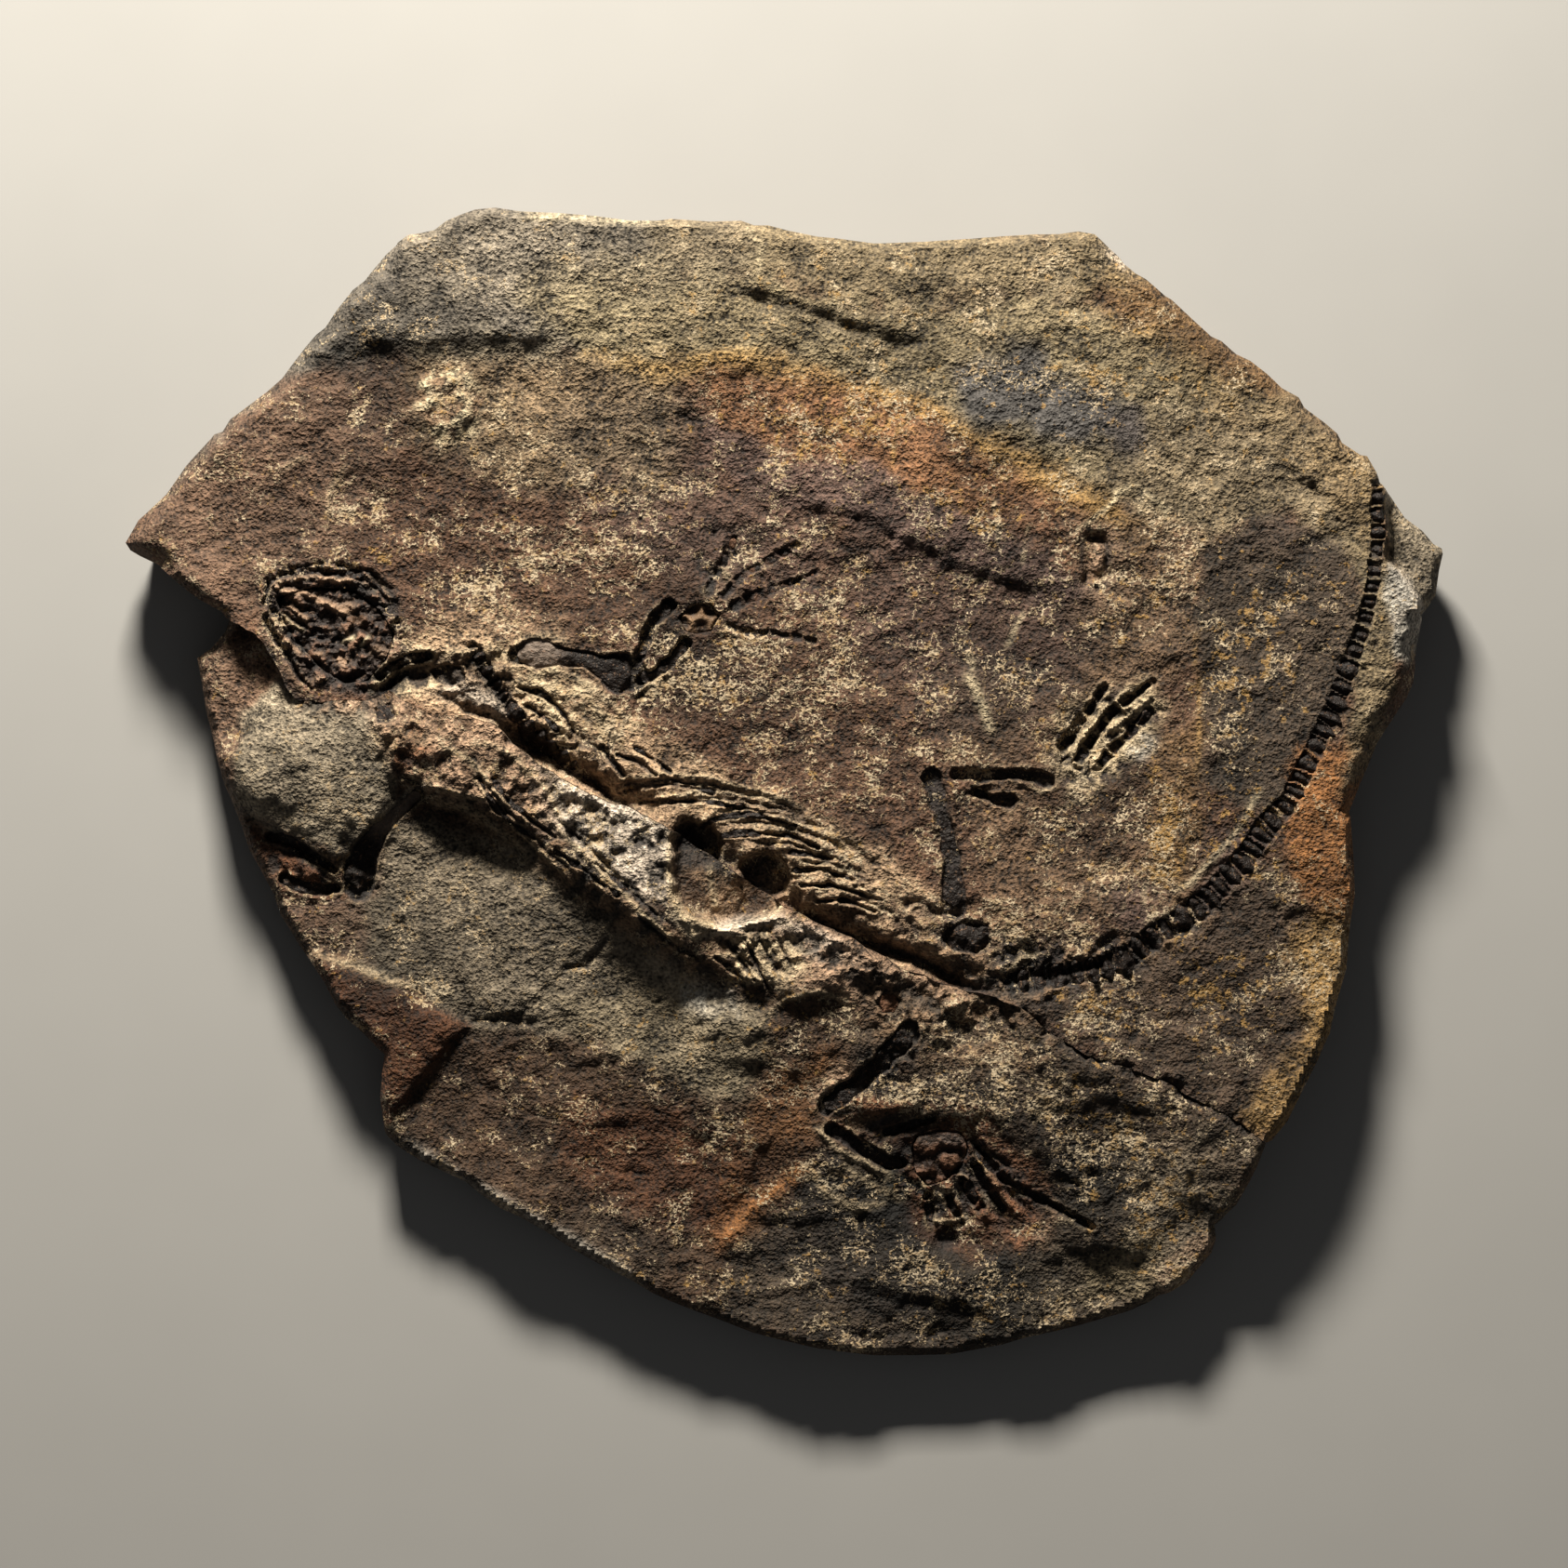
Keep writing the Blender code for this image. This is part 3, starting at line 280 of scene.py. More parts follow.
longBones = {
    "jaw_north": [(-139, 48.5, 1.2), (-138, 54, 1.3), (-132.5, 56, 1.5), (-124.5, 56.8, 1.6), (-115, 56.2, 1.6),
        (-109, 53.2, 1.5), (-106.5, 49, 1.1)],
    "jaw_south": [(-138.6, 44.5, 1.3), (-136, 38.5, 1.5), (-132.6, 33.2, 1.5), (-129.8, 28.4, 1.4),
        (-126.5, 25.2, 1.1)],
    "collar_bone": [(-108.4, 28.8, 1.2), (-103.7, 32.5, 1.3), (-98.2, 34, 1.3), (-95.6, 34.3, 1)],
    "spine_front": [(-83.5, 36.5, 1.6), (-79.8, 30.2, 2.1), (-75.8, 24, 1.7), (-72, 18.5, 2.1), (-67.2, 12.8, 1.7),
        (-61.5, 8.4, 1.8), (-56, 4.8, 1.3)],
    "humerus_north": [(-71.5, 34.2, 2.6), (-67.2, 35.2, 4.4), (-62.2, 34.2, 3), (-57.2, 33.7, 2), (-51.5, 32.7, 2.4),
        (-47.2, 30.7, 4.4), (-44, 29.4, 5.8), (-41.4, 29, 4.6)],
    "ulna_north": [(-38.6, 34.6, 1.5), (-36.7, 40.5, 1.5), (-34.5, 45, 1.6), (-31, 47.7, 1.8)],
    "radius_north": [(-38.2, 27.6, 1.5), (-34.2, 30.2, 1.5), (-29.7, 33.7, 1.6), (-26.8, 37.2, 2)],
    "finger_north_1": [(-20.5, 51, 1.1), (-17.2, 58.2, 1.1), (-13.5, 65.7, 0.8)],
    "finger_north_2": [(-16.2, 50.6, 1.2), (-12.2, 55.2, 1.2), (-7.2, 58.2, 1), (3, 63.7, 0.8)],
    "finger_north_3": [(-13.8, 47.2, 1.2), (-9.7, 49.5, 1.2), (-3.5, 51.7, 1), (8.7, 56.7, 0.8)],
    "finger_north_4": [(-15.8, 42.6, 1.2), (-10.5, 40.5, 1.1), (-1.7, 40, 0.9), (7.7, 38.2, 0.8)],
    "rib_north_1": [(-71.6, 25.8, 0.8), (-67.2, 25.2, 1), (-63.5, 23.2, 1), (-59.7, 19.5, 1), (-56.5, 13.7, 0.7)],
    "rib_north_2": [(-68.8, 20.8, 0.8), (-65.2, 18.4, 0.9), (-61, 14.6, 0.7)],
    "rib_north_3": [(-49, 10, 0.8), (-46, 6.2, 0.9), (-43.2, 2.2, 0.7)],
    "rib_north_4": [(-44.7, 7.7, 0.7), (-38.5, 6.2, 0.8), (-34.7, 2.4, 0.7)],
    "rib_north_5": [(-40, 9.6, 0.7), (-34.4, 6.2, 0.8), (-30.7, 2.9, 0.6)],
    "rib_north_6": [(-44.2, -2.4, 0.8), (-39.2, -0.7, 0.9), (-30.5, 0, 0.9), (-19.2, -2.2, 0.7)],
    "rib_north_7": [(-38.6, -5, 0.8), (-33.5, -4.5, 0.9), (-23.2, -4.7, 0.9), (-11.2, -6.2, 0.7)],
    "rib_north_8": [(-22, -11, 0.8), (-16.7, -8.7, 0.9), (-7.2, -8.4, 0.9), (3, -11.2, 0.7)],
    "rib_north_9": [(-17, -14, 0.8), (-11.2, -13, 0.9), (0.7, -13.7, 0.9), (8.7, -17, 0.7)],
    "rib_north_10": [(1.5, -18.4, 0.8), (6, -18.6, 0.9), (12.7, -20.2, 0.7)],
    "rib_north_11": [(2.4, -23.2, 0.8), (10.2, -22.7, 0.9), (18.2, -25.7, 0.7)],
    "rib_north_12": [(4.7, -27.2, 0.7), (12.7, -27.2, 0.8), (21.5, -29.7, 0.7)],
    "rib_north_13": [(8.7, -31.2, 0.7), (16.5, -31.2, 0.8), (24, -34, 0.7)],
    "femur_north": [(39.2, 1.5, 2.6), (41, -4.7, 2.2), (43.2, -12.7, 2), (44.7, -21.5, 2.2), (45.2, -28, 3),
        (45.2, -32.6, 3.4)],
    "tibia_north": [(46, 2.6, 1.6), (51.5, 2, 1.6), (59, 2.7, 1.5), (66, 2.2, 1.8), (70, 0.8, 2.2)],
    "fibula_north": [(50.6, -1.8, 0.9), (55.2, -3.8, 1.4), (60.2, -4.6, 2.2)],
    "toe_north_1": [(74.5, 9.2, 1.4), (77.5, 15.2, 1.3), (80.7, 19.2, 1.2), (85.5, 25.5, 0.9)],
    "toe_north_2": [(78.5, 5.2, 1.4), (82.2, 12.7, 1.3), (87.4, 19.4, 1.2), (98.2, 27.2, 0.9)],
    "toe_north_3": [(84, 5, 1.3), (88, 9.5, 1.3), (92.5, 13.5, 1.2), (97.5, 19.5, 0.9)],
    "humerus_south": [(-98, -2.2, 1.4), (-103.5, -7.2, 1.6), (-108.5, -12.5, 2.2), (-112.2, -18, 3.6),
        (-114, -23, 4.6), (-114.6, -28, 3.8)],
    "radius_south": [(-138.6, -13.9, 1.3), (-133.5, -15, 1.4), (-128.5, -18, 1.4), (-123.5, -21.7, 1.3),
        (-121, -23.2, 0.8)],
    "ulna_south": [(-134.6, -25.4, 1.4), (-131.2, -27.2, 1.8), (-125.4, -28.4, 1.9), (-120.6, -27.8, 1.2)],
    "rib_south_1": [(-81.5, 1.7, 0.8), (-79.5, -3.2, 0.9), (-74.7, -9.2, 0.9), (-67.2, -14.7, 0.7)],
    "rib_south_2": [(-78, 1.2, 0.7), (-74.7, -3.7, 0.8), (-68.5, -9.2, 0.8), (-61.5, -14.2, 0.7)],
    "rib_south_3": [(-61, -18, 0.8), (-53.5, -23, 0.9), (-44.7, -29.7, 0.7)],
    "rib_south_4": [(-51, -21.2, 0.7), (-42.2, -28, 0.8), (-34.7, -34.8, 0.7)],
    "rib_south_5": [(-38.5, -36, 0.7), (-31, -42, 0.8), (-23.5, -46.7, 0.7)],
    "rib_south_6": [(-18.5, -46.2, 0.7), (-11.6, -52, 0.6)],
    "rib_south_7": [(-15.2, -42.2, 0.8), (-8.2, -52.5, 0.6)],
    "rib_south_8": [(-10.8, -41.2, 0.8), (-4.4, -55, 0.6)],
    "femur_south": [(33, -66.7, 3.2), (29, -71.2, 2.8), (25, -75.5, 2.6), (20.2, -79.5, 2.8), (15.8, -83, 2.8),
        (11, -87, 2.2)],
    "tibia_south": [(12.6, -92.8, 1.9), (20.2, -97.5, 1.9), (26.7, -101.5, 2), (31.6, -102, 1.5)],
    "fibula_south": [(27.6, -93.4, 1), (33.4, -91.6, 1.1), (39.5, -89.7, 0.9)],
    "toe_south_1": [(38.6, -111.2, 1.2), (39.2, -118, 1)],
    "toe_south_2": [(43.6, -110.2, 1.2), (47.6, -118.4, 1)],
    "toe_south_3": [(47.8, -106.6, 1.2), (52.6, -114.2, 1)],
    "toe_south_4": [(51.2, -102.6, 1.2), (54.7, -108.8, 1.1), (58.4, -114, 0.9)],
    "toe_south_5": [(51.6, -98.4, 1.2), (56, -103.4, 1.3), (61.5, -108, 1.1), (69.7, -112, 1), (82.5, -119, 0.8)],
    "tail": [(61.5, -53.2, 2.7), (74, -51.2, 2.8), (82.7, -49.7, 2.7), (91.7, -46.7, 2.8), (99, -40.5, 2.9),
        (111.5, -32.7, 2.8), (122.7, -20.5, 2.7), (128.5, -11.7, 2.6), (135.2, -4, 2.4), (139.2, 4, 2.3),
        (143.2, 13, 2.2), (147.2, 21.5, 2.1), (151, 31.5, 2), (154, 40.2, 1.8), (156, 48, 1.7), (157.6, 56, 1.6),
        (158.4, 64.5, 1.5), (158.6, 73, 1.4), (158.2, 80, 1.2)],
}
flatBones = {
    "skull": [(-136, 50), (-126, 52.6), (-115, 51.6), (-108.6, 46.4), (-104.6, 40), (-106.4, 34), (-111.6, 27.6),
        (-117.6, 27), (-123.6, 30.4), (-129, 36), (-134, 43)],
    "shoulder_blade": [(-95, 30.4), (-91, 32.2), (-86.6, 31.2), (-85.2, 27.8), (-89, 26.2), (-93.4, 27.4)],
    "wrist_north": [(-28.2, 44.6), (-24.8, 48), (-19.8, 48), (-17.6, 45), (-19.6, 41), (-23.6, 40.2), (-27, 41.2)],
    "neck_knob": [(-110, 19), (-108.6, 21.4), (-105.6, 21.4), (-104.2, 18.6), (-105.6, 16.2), (-108.8, 16.2)],
    "pelvis": [(43, -38.2), (49, -36.6), (54.4, -37.6), (55.4, -41.8), (51.4, -45.6), (45, -44.8), (42, -41.4)],
    "sacrum_knob": [(24.6, -58.6), (26, -56.2), (29, -56), (30.6, -58.4), (29.4, -61.2), (26, -61.4)],
    "ankle_south": [(34.2, -98.6), (35.2, -94.6), (41, -93.2), (47.2, -93.6), (49.2, -97.6), (47.6, -102.6),
        (43.4, -106.4), (38.2, -108), (35, -104.4)],
}

# How each family of bones sits in its trough: depth of the trough and of the bone's top, its hollow
# (minus) or bulge along the middle, height of the thin rim of stone beside it, spacing of its joints,
# and its share of the width in the solids where it isn't the whole. A name of two words goes first.
boneLooks = {
    "jaw": {"trough": 1.4, "sink": 0.8, "bulge": -0.1, "rim": 0.15, "joint": 0, "narrow": 0.6},
    "collar": {"trough": 2.0, "sink": 1.1, "bulge": -0.4, "rim": 0.6, "joint": 0},
    "spine": {"trough": 1.6, "sink": 0.4, "bulge": 0.3, "rim": 0.1, "joint": 4.6, "narrow": 0.85},
    "humerus": {"trough": 1.8, "sink": 0.9, "bulge": 0.9, "rim": 0.3, "joint": 0},
    "ulna": {"trough": 2.4, "sink": 1.6, "bulge": -0.3, "rim": 0.4, "joint": 0},
    "radius": {"trough": 2.4, "sink": 1.6, "bulge": -0.3, "rim": 0.4, "joint": 0},
    "finger": {"trough": 0.9, "sink": 0.45, "bulge": -0.1, "rim": 0.15, "joint": 4.2},
    "rib": {"trough": 1.3, "sink": 0.7, "bulge": -0.2, "rim": 0.28, "joint": 0, "narrow": 0.6},
    "femur": {"trough": 1.7, "sink": 0.8, "bulge": 0.3, "rim": 0.12, "joint": 0},
    "tibia": {"trough": 2.4, "sink": 1.7, "bulge": -0.3, "rim": 0.4, "joint": 0},
    "fibula": {"trough": 2.0, "sink": 1.3, "bulge": -0.2, "rim": 0.3, "joint": 0},
    "toe_north": {"trough": 2.0, "sink": 1.3, "bulge": -0.2, "rim": 0.4, "joint": 5.0, "narrow": 1.15},
    "toe": {"trough": 1.8, "sink": 1.1, "bulge": -0.2, "rim": 0.3, "joint": 8.0},
    "tail": {"trough": 1.5, "sink": 0.6, "bulge": 0.5, "rim": 0.12, "joint": 4.6, "narrow": 1.1},
    "skull": {"trough": 3.4, "sink": 0.15, "bulge": 0, "rim": 0},
    "shoulder": {"trough": 1.6, "sink": 1.0, "bulge": -0.4, "rim": 0.3},
    "wrist": {"trough": 2.6, "sink": 0.1, "bulge": 0, "rim": 0},
    "neck": {"trough": 0.9, "sink": 0.1, "bulge": 0.8, "rim": 0.1},
    "pelvis": {"trough": 0.9, "sink": 0.2, "bulge": 0.4, "rim": 0},
    "sacrum": {"trough": 0.9, "sink": 0.0, "bulge": 0.9, "rim": 0.1},
    "ankle": {"trough": 2.6, "sink": 0.3, "bulge": 0, "rim": 0},
}
smoothBones = {name: smoothLine(line, 1.4) for name, line in longBones.items()}
trough = {"wander": 0.8, "sharpness": 0.45, "wall": 0.85, "wallWidth": 0.45, "wallVaries": 0.3,
          "rimPlace": 0.6, "rimWidth": 0.5, "rimTint": 0.7, "fillTint": 0.9, "reach": 6}


def boneLook(name):
    return boneLooks.get("_".join(name.split("_")[:2])) or boneLooks[name.split("_")[0]]


def jointWander(x, y):  # joints aren't quite evenly spaced
    return 0.45 * layeredNoise(x, y, 8, 35, 2)


def lowered(x, y, height, tint, names):  # cuts the troughs and raises the thin rims beside them
    for name in names:
        look = boneLook(name)
        if name in smoothBones:
            places = smoothBones[name]
            near, away, side, along = nearLine(x, y, [tuple(p[:2]) for p in places], trough["reach"])
            half = np.interp(along, np.linspace(0, 1, len(places)), places[:, 2])
            wander = trough["wander"] * layeredNoise(x[near], y[near], 2.8, 33, 3)
            clear = away - half * look.get("narrow", 1) + wander
            run = float(np.hypot(*np.diff(places[:, :2], axis=0).T).sum())
        else:
            outline = flatBones[name]
            near, away, side, along = nearLine(x, y, outline + outline[:1], trough["reach"])
            clear = np.where(inside(x[near], y[near], outline), -away, away)
            run = 0
        cut = eased(0.5 - clear / trough["sharpness"] / 2)
        joint = look.get("joint", 0)
        if joint:
            turns = along * run / joint + jointWander(x[near], y[near])
            walls = np.abs((turns + 0.5) % 1 - 0.5) * joint
            wallWidth = trough["wallWidth"] + trough["wallVaries"] * layeredNoise(x[near], y[near], 5, 37, 2)
            cut *= 1 - trough["wall"] * np.exp(-((walls / wallWidth) ** 2))
        height[near] -= look["trough"] * cut
        rim = np.exp(-(((clear - trough["rimPlace"]) / trough["rimWidth"]) ** 2))
        rim *= eased(0.45 + 1.3 * layeredNoise(x[near], y[near], 4, 31, 3))
        height[near] += look["rim"] * rim
        tint[near] += (np.array(stoneColours["rim"]) - tint[near]) * (trough["rimTint"] * look["rim"] * rim)[:, None]
        tint[near] += (np.array(stoneColours["black"]) - tint[near]) * (trough["fillTint"] * cut)[:, None]


# Colours of the stone, linear.

stoneColours = {
    "basin": (0.078, 0.042, 0.025),
    "darkBasin": (0.075, 0.048, 0.04),
    "greyNorth": (0.105, 0.092, 0.075),
    "olive": (0.175, 0.14, 0.082),
    "ochre": (0.32, 0.195, 0.068),
    "lens": (0.16, 0.078, 0.036),
    "blueGrey": (0.058, 0.056, 0.058),
    "redBrown": (0.115, 0.070, 0.046),
    "cream": (0.48, 0.40, 0.26),
    "tan": (0.155, 0.098, 0.058),
    "pinkish": (0.33, 0.215, 0.14),
    "greyGreen": (0.17, 0.14, 0.10),
    "darkGrey": (0.045, 0.034, 0.024),
    "terracotta": (0.088, 0.036, 0.016),
    "rust": (0.21, 0.09, 0.028),
    "rim": (0.42, 0.33, 0.21),
    "black": (0.018, 0.016, 0.016),
    "white": (0.50, 0.42, 0.34),
    "lowerBrown": (0.050, 0.029, 0.017),
    "brick": (0.17, 0.075, 0.036),
    "buff": (0.27, 0.185, 0.115),
    "greyWhite": (0.34, 0.32, 0.28),
    "skullBrown": (0.21, 0.12, 0.078),
}

# Where the colours lie: (outline, width of the soft border in mm, colour, share).
upperAreas = [
    (at(130, 590, 200, 500, 300, 410, 420, 380, 440, 480, 360, 600, 280, 640, 240, 665), 8, "redBrown", 0.8),
    (at(120, 560, 300, 380, 420, 240, 540, 210, 700, 220, 720, 330, 640, 385, 560, 385, 420, 385, 330, 400, 232, 480),
     5, "greyNorth", 0.95),
    (at(560, 300, 700, 280, 860, 310, 1000, 330, 1160, 320, 1300, 400, 1470, 500, 1480, 620, 1380, 560, 1290, 590,
     1180, 530, 1090, 490, 960, 420, 840, 395, 700, 400, 600, 370), 7, "olive", 0.9),
    (at(700, 230, 960, 240, 1180, 240, 1240, 300, 1100, 330, 960, 330, 820, 310, 700, 300), 8, "olive", 0.75),
    (at(1180, 240, 1480, 480, 1490, 600, 1420, 540, 1300, 430, 1180, 330), 8, "ochre", 0.25),
    (at(620, 380, 720, 385, 840, 390, 930, 410, 1010, 440, 1100, 485, 1180, 530, 1250, 580, 1230, 600, 1130, 540,
     1040, 480, 930, 435, 820, 410, 720, 410), 4, "ochre", 0.75),
    (at(740, 410, 800, 400, 880, 405, 960, 430, 1040, 475, 1110, 515, 1180, 560, 1185, 640, 1120, 630, 1030, 595,
     930, 550, 860, 540, 800, 500, 745, 470), 5, "lens", 0.75),
    (at(745, 450, 850, 480, 960, 520, 1080, 570, 1185, 640, 1120, 645, 980, 590, 840, 545, 770, 490), 4, "darkBasin",
     0.9),
    (at(1010, 400, 1110, 385, 1220, 440, 1230, 480, 1130, 480, 1040, 450), 6, "blueGrey", 0.9),
    (at(1330, 430, 1380, 420, 1420, 460, 1400, 490, 1340, 480), 5, "olive", 0.5),
    (paleKnob, 2, "tan", 0.8),
    (at(640, 400, 760, 420, 800, 520, 860, 560, 900, 650, 760, 640, 640, 560, 580, 470), 10, "darkBasin", 0.5),
    (at(420, 400, 640, 390, 700, 430, 560, 470, 440, 490), 8, "basin", 0.6),
    (at(1180, 560, 1290, 570, 1285, 690, 1240, 760, 1160, 720, 1140, 650, 1170, 640), 5, "tan", 0.85),
    (at(1285, 600, 1360, 560, 1450, 590, 1460, 700, 1420, 790, 1370, 880, 1285, 840), 3, "darkGrey", 0.85),
    (at(1000, 720, 1180, 700, 1260, 760, 1285, 860, 1260, 960, 1130, 1020, 1060, 1010, 1040, 860), 8, "tan", 0.65),
    (at(1230, 800, 1285, 780, 1300, 900, 1290, 970, 1240, 990, 1235, 900), 4, "ochre", 0.35),
    (at(1290, 900, 1390, 860, 1340, 960, 1260, 1000), 4, "darkBasin", 0.6),
    (at(1100, 1060, 1240, 1020, 1330, 960, 1440, 860, 1460, 960, 1440, 1100, 1380, 1220, 1240, 1160, 1130, 1110), 5,
     "darkGrey", 0.7),
    (at(1400, 800, 1470, 780, 1460, 960, 1450, 1010, 1390, 960, 1380, 890), 5, "rust", 0.75),
    (at(1380, 1000, 1460, 980, 1440, 1120, 1370, 1230, 1330, 1200, 1400, 1100), 6, "ochre", 0.5),
    (at(1455, 600, 1485, 610, 1500, 700, 1490, 790, 1440, 850, 1450, 700), 4, "olive", 0.7),
    (at(1487, 600, 1520, 610, 1530, 660, 1510, 720, 1490, 700, 1480, 640), 2, "greyWhite", 0.8),
    (at(1487, 500, 1560, 560, 1560, 660, 1530, 665, 1510, 620, 1489, 602), 1, "greyGreen", 1.0),
    (at(430, 690, 520, 680, 600, 740, 640, 760, 700, 800, 780, 840, 930, 900, 1010, 960, 1090, 1020, 1110, 1060,
     960, 1040, 860, 985, 740, 905, 640, 860, 560, 800, 500, 775, 430, 750), 5, "buff", 0.8),
    (at(520, 690, 600, 745, 650, 770, 660, 800, 600, 790, 560, 750, 520, 720), 3, "rim", 0.6),
    (at(600, 780, 760, 850, 860, 900, 960, 960, 1060, 1030, 1050, 1060, 900, 990, 760, 900, 640, 840), 4, "pinkish",
     0.5),
    (at(430, 690, 520, 650, 600, 660, 640, 720, 560, 800, 470, 780), 8, "buff", 0.4),
    (at(430, 370, 600, 370, 740, 400, 720, 520, 560, 520, 440, 480), 10, "olive", 0.4),
    (at(430, 230, 800, 230, 800, 300, 560, 330, 430, 330), 8, "greyGreen", 0.4),
    (at(1180, 440, 1460, 440, 1460, 600, 1280, 580, 1180, 520), 10, "darkBasin", 0.25),
    (at(900, 560, 1130, 560, 1180, 680, 1120, 780, 1010, 780, 900, 680), 12, "darkBasin", 0.5),
    (at(1100, 800, 1290, 760, 1300, 900, 1120, 900), 10, "basin", 0.5),
    (at(1140, 560, 1200, 560, 1210, 640, 1160, 640), 3, "pinkish", 0.4),
    (at(1195, 945, 1262, 942, 1266, 1000, 1230, 1014, 1196, 990), 2, "darkBasin", 0.7),
]
lowerAreas = [
    (at(200, 690, 290, 690, 300, 730, 262, 770, 260, 860, 290, 940, 250, 930, 200, 760), 3, "redBrown", 0.9),
    (at(263, 767, 300, 725, 330, 720, 420, 760, 435, 820, 422, 866, 403, 898, 358, 930, 346, 911, 301, 904, 285, 898,
     266, 866, 255, 809), 2, "greyGreen", 1.0),
    (at(380, 900, 460, 880, 620, 930, 700, 1000, 760, 1060, 830, 1090, 800, 1190, 680, 1170, 540, 1110, 430, 1070,
     330, 1030, 380, 960), 7, "greyGreen", 0.85),
    (at(590, 1060, 760, 1070, 830, 1100, 800, 1190, 680, 1180, 600, 1120), 10, "olive", 0.4),
    (at(290, 930, 400, 930, 400, 1030, 340, 1040, 300, 1000), 5, "redBrown", 0.85),
    (at(325, 1020, 391, 1042, 449, 1064, 500, 1102, 465, 1147, 433, 1191, 400, 1220, 400, 1120, 340, 1060), 2,
     "terracotta", 0.9),
    (at(430, 1200, 480, 1150, 540, 1100, 640, 1120, 760, 1180, 870, 1200, 880, 1260, 800, 1340, 770, 1430, 600, 1350,
     410, 1240), 5, "lowerBrown", 0.95),
    (at(620, 1180, 760, 1210, 830, 1260, 790, 1330, 680, 1320, 600, 1260), 8, "terracotta", 0.8),
    (at(599, 1310, 660, 1290, 720, 1340, 700, 1380, 620, 1350), 6, "darkGrey", 0.5),
    (at(830, 1150, 900, 1130, 870, 1260, 820, 1330, 760, 1340, 790, 1240), 5, "rust", 0.35),
    (at(880, 1260, 960, 1300, 1100, 1360, 1200, 1330, 1300, 1200, 1360, 1230, 1300, 1390, 1100, 1450, 900, 1460,
     770, 1430, 790, 1350), 7, "darkGrey", 0.8),
    (at(900, 1110, 1100, 1090, 1360, 1220, 1300, 1330, 1160, 1300, 1060, 1200, 940, 1190), 7, "darkGrey", 0.65),
    (at(893, 1200, 990, 1190, 1060, 1200, 1110, 1250, 1145, 1300, 1130, 1345, 1050, 1360, 990, 1330, 940, 1270,
     890, 1230), 3, "brick", 0.75),
    (at(877, 1165, 911, 1146, 922, 1157, 880, 1180), 1, "pinkish", 0.9),
    (at(902, 1200, 990, 1193, 1020, 1200, 974, 1212, 934, 1224, 916, 1218), 1.5, "tan", 0.9),
    (at(1230, 1360, 1290, 1330, 1310, 1330, 1290, 1380, 1240, 1400), 3, "pinkish", 0.4),
    (at(420, 740, 470, 760, 540, 780, 600, 840, 580, 900, 500, 860, 430, 850, 410, 800), 4, "pinkish", 0.5),
    (at(505, 790, 560, 810, 600, 850, 590, 900, 540, 880, 510, 840), 3, "lowerBrown", 0.7),
    (at(576, 815, 640, 845, 722, 880, 735, 960, 700, 960, 640, 920, 580, 870), 2.5, "white", 0.6),
    (at(719, 930, 800, 930, 850, 955, 830, 985, 780, 1000, 725, 975), 2, "lowerBrown", 0.8),
    (at(850, 985, 910, 1015, 1000, 1060, 960, 1090, 850, 1060, 779, 1020), 4, "pinkish", 0.6),
    (at(840, 1000, 905, 1010, 930, 1035, 880, 1035, 840, 1020), 3, "white", 0.7),
    (at(722, 968, 779, 985, 779, 1012, 740, 1010, 715, 985), 1.5, "greyGreen", 0.8),
    (at(738, 1060, 790, 1063, 795, 1090, 740, 1090), 3, "greyWhite", 0.5),
    (at(960, 1050, 1090, 1080, 1140, 1120, 1040, 1150, 940, 1130), 6, "tan", 0.5),
    (at(1130, 1270, 1290, 1220, 1320, 1300, 1250, 1400, 1060, 1440, 1050, 1370), 10, "greyGreen", 0.3),
    (at(1170, 1350, 1260, 1310, 1240, 1400, 1160, 1400), 5, "olive", 0.5),
    (at(780, 1230, 900, 1220, 1000, 1330, 1000, 1420, 880, 1400), 10, "black", 0.4),
]

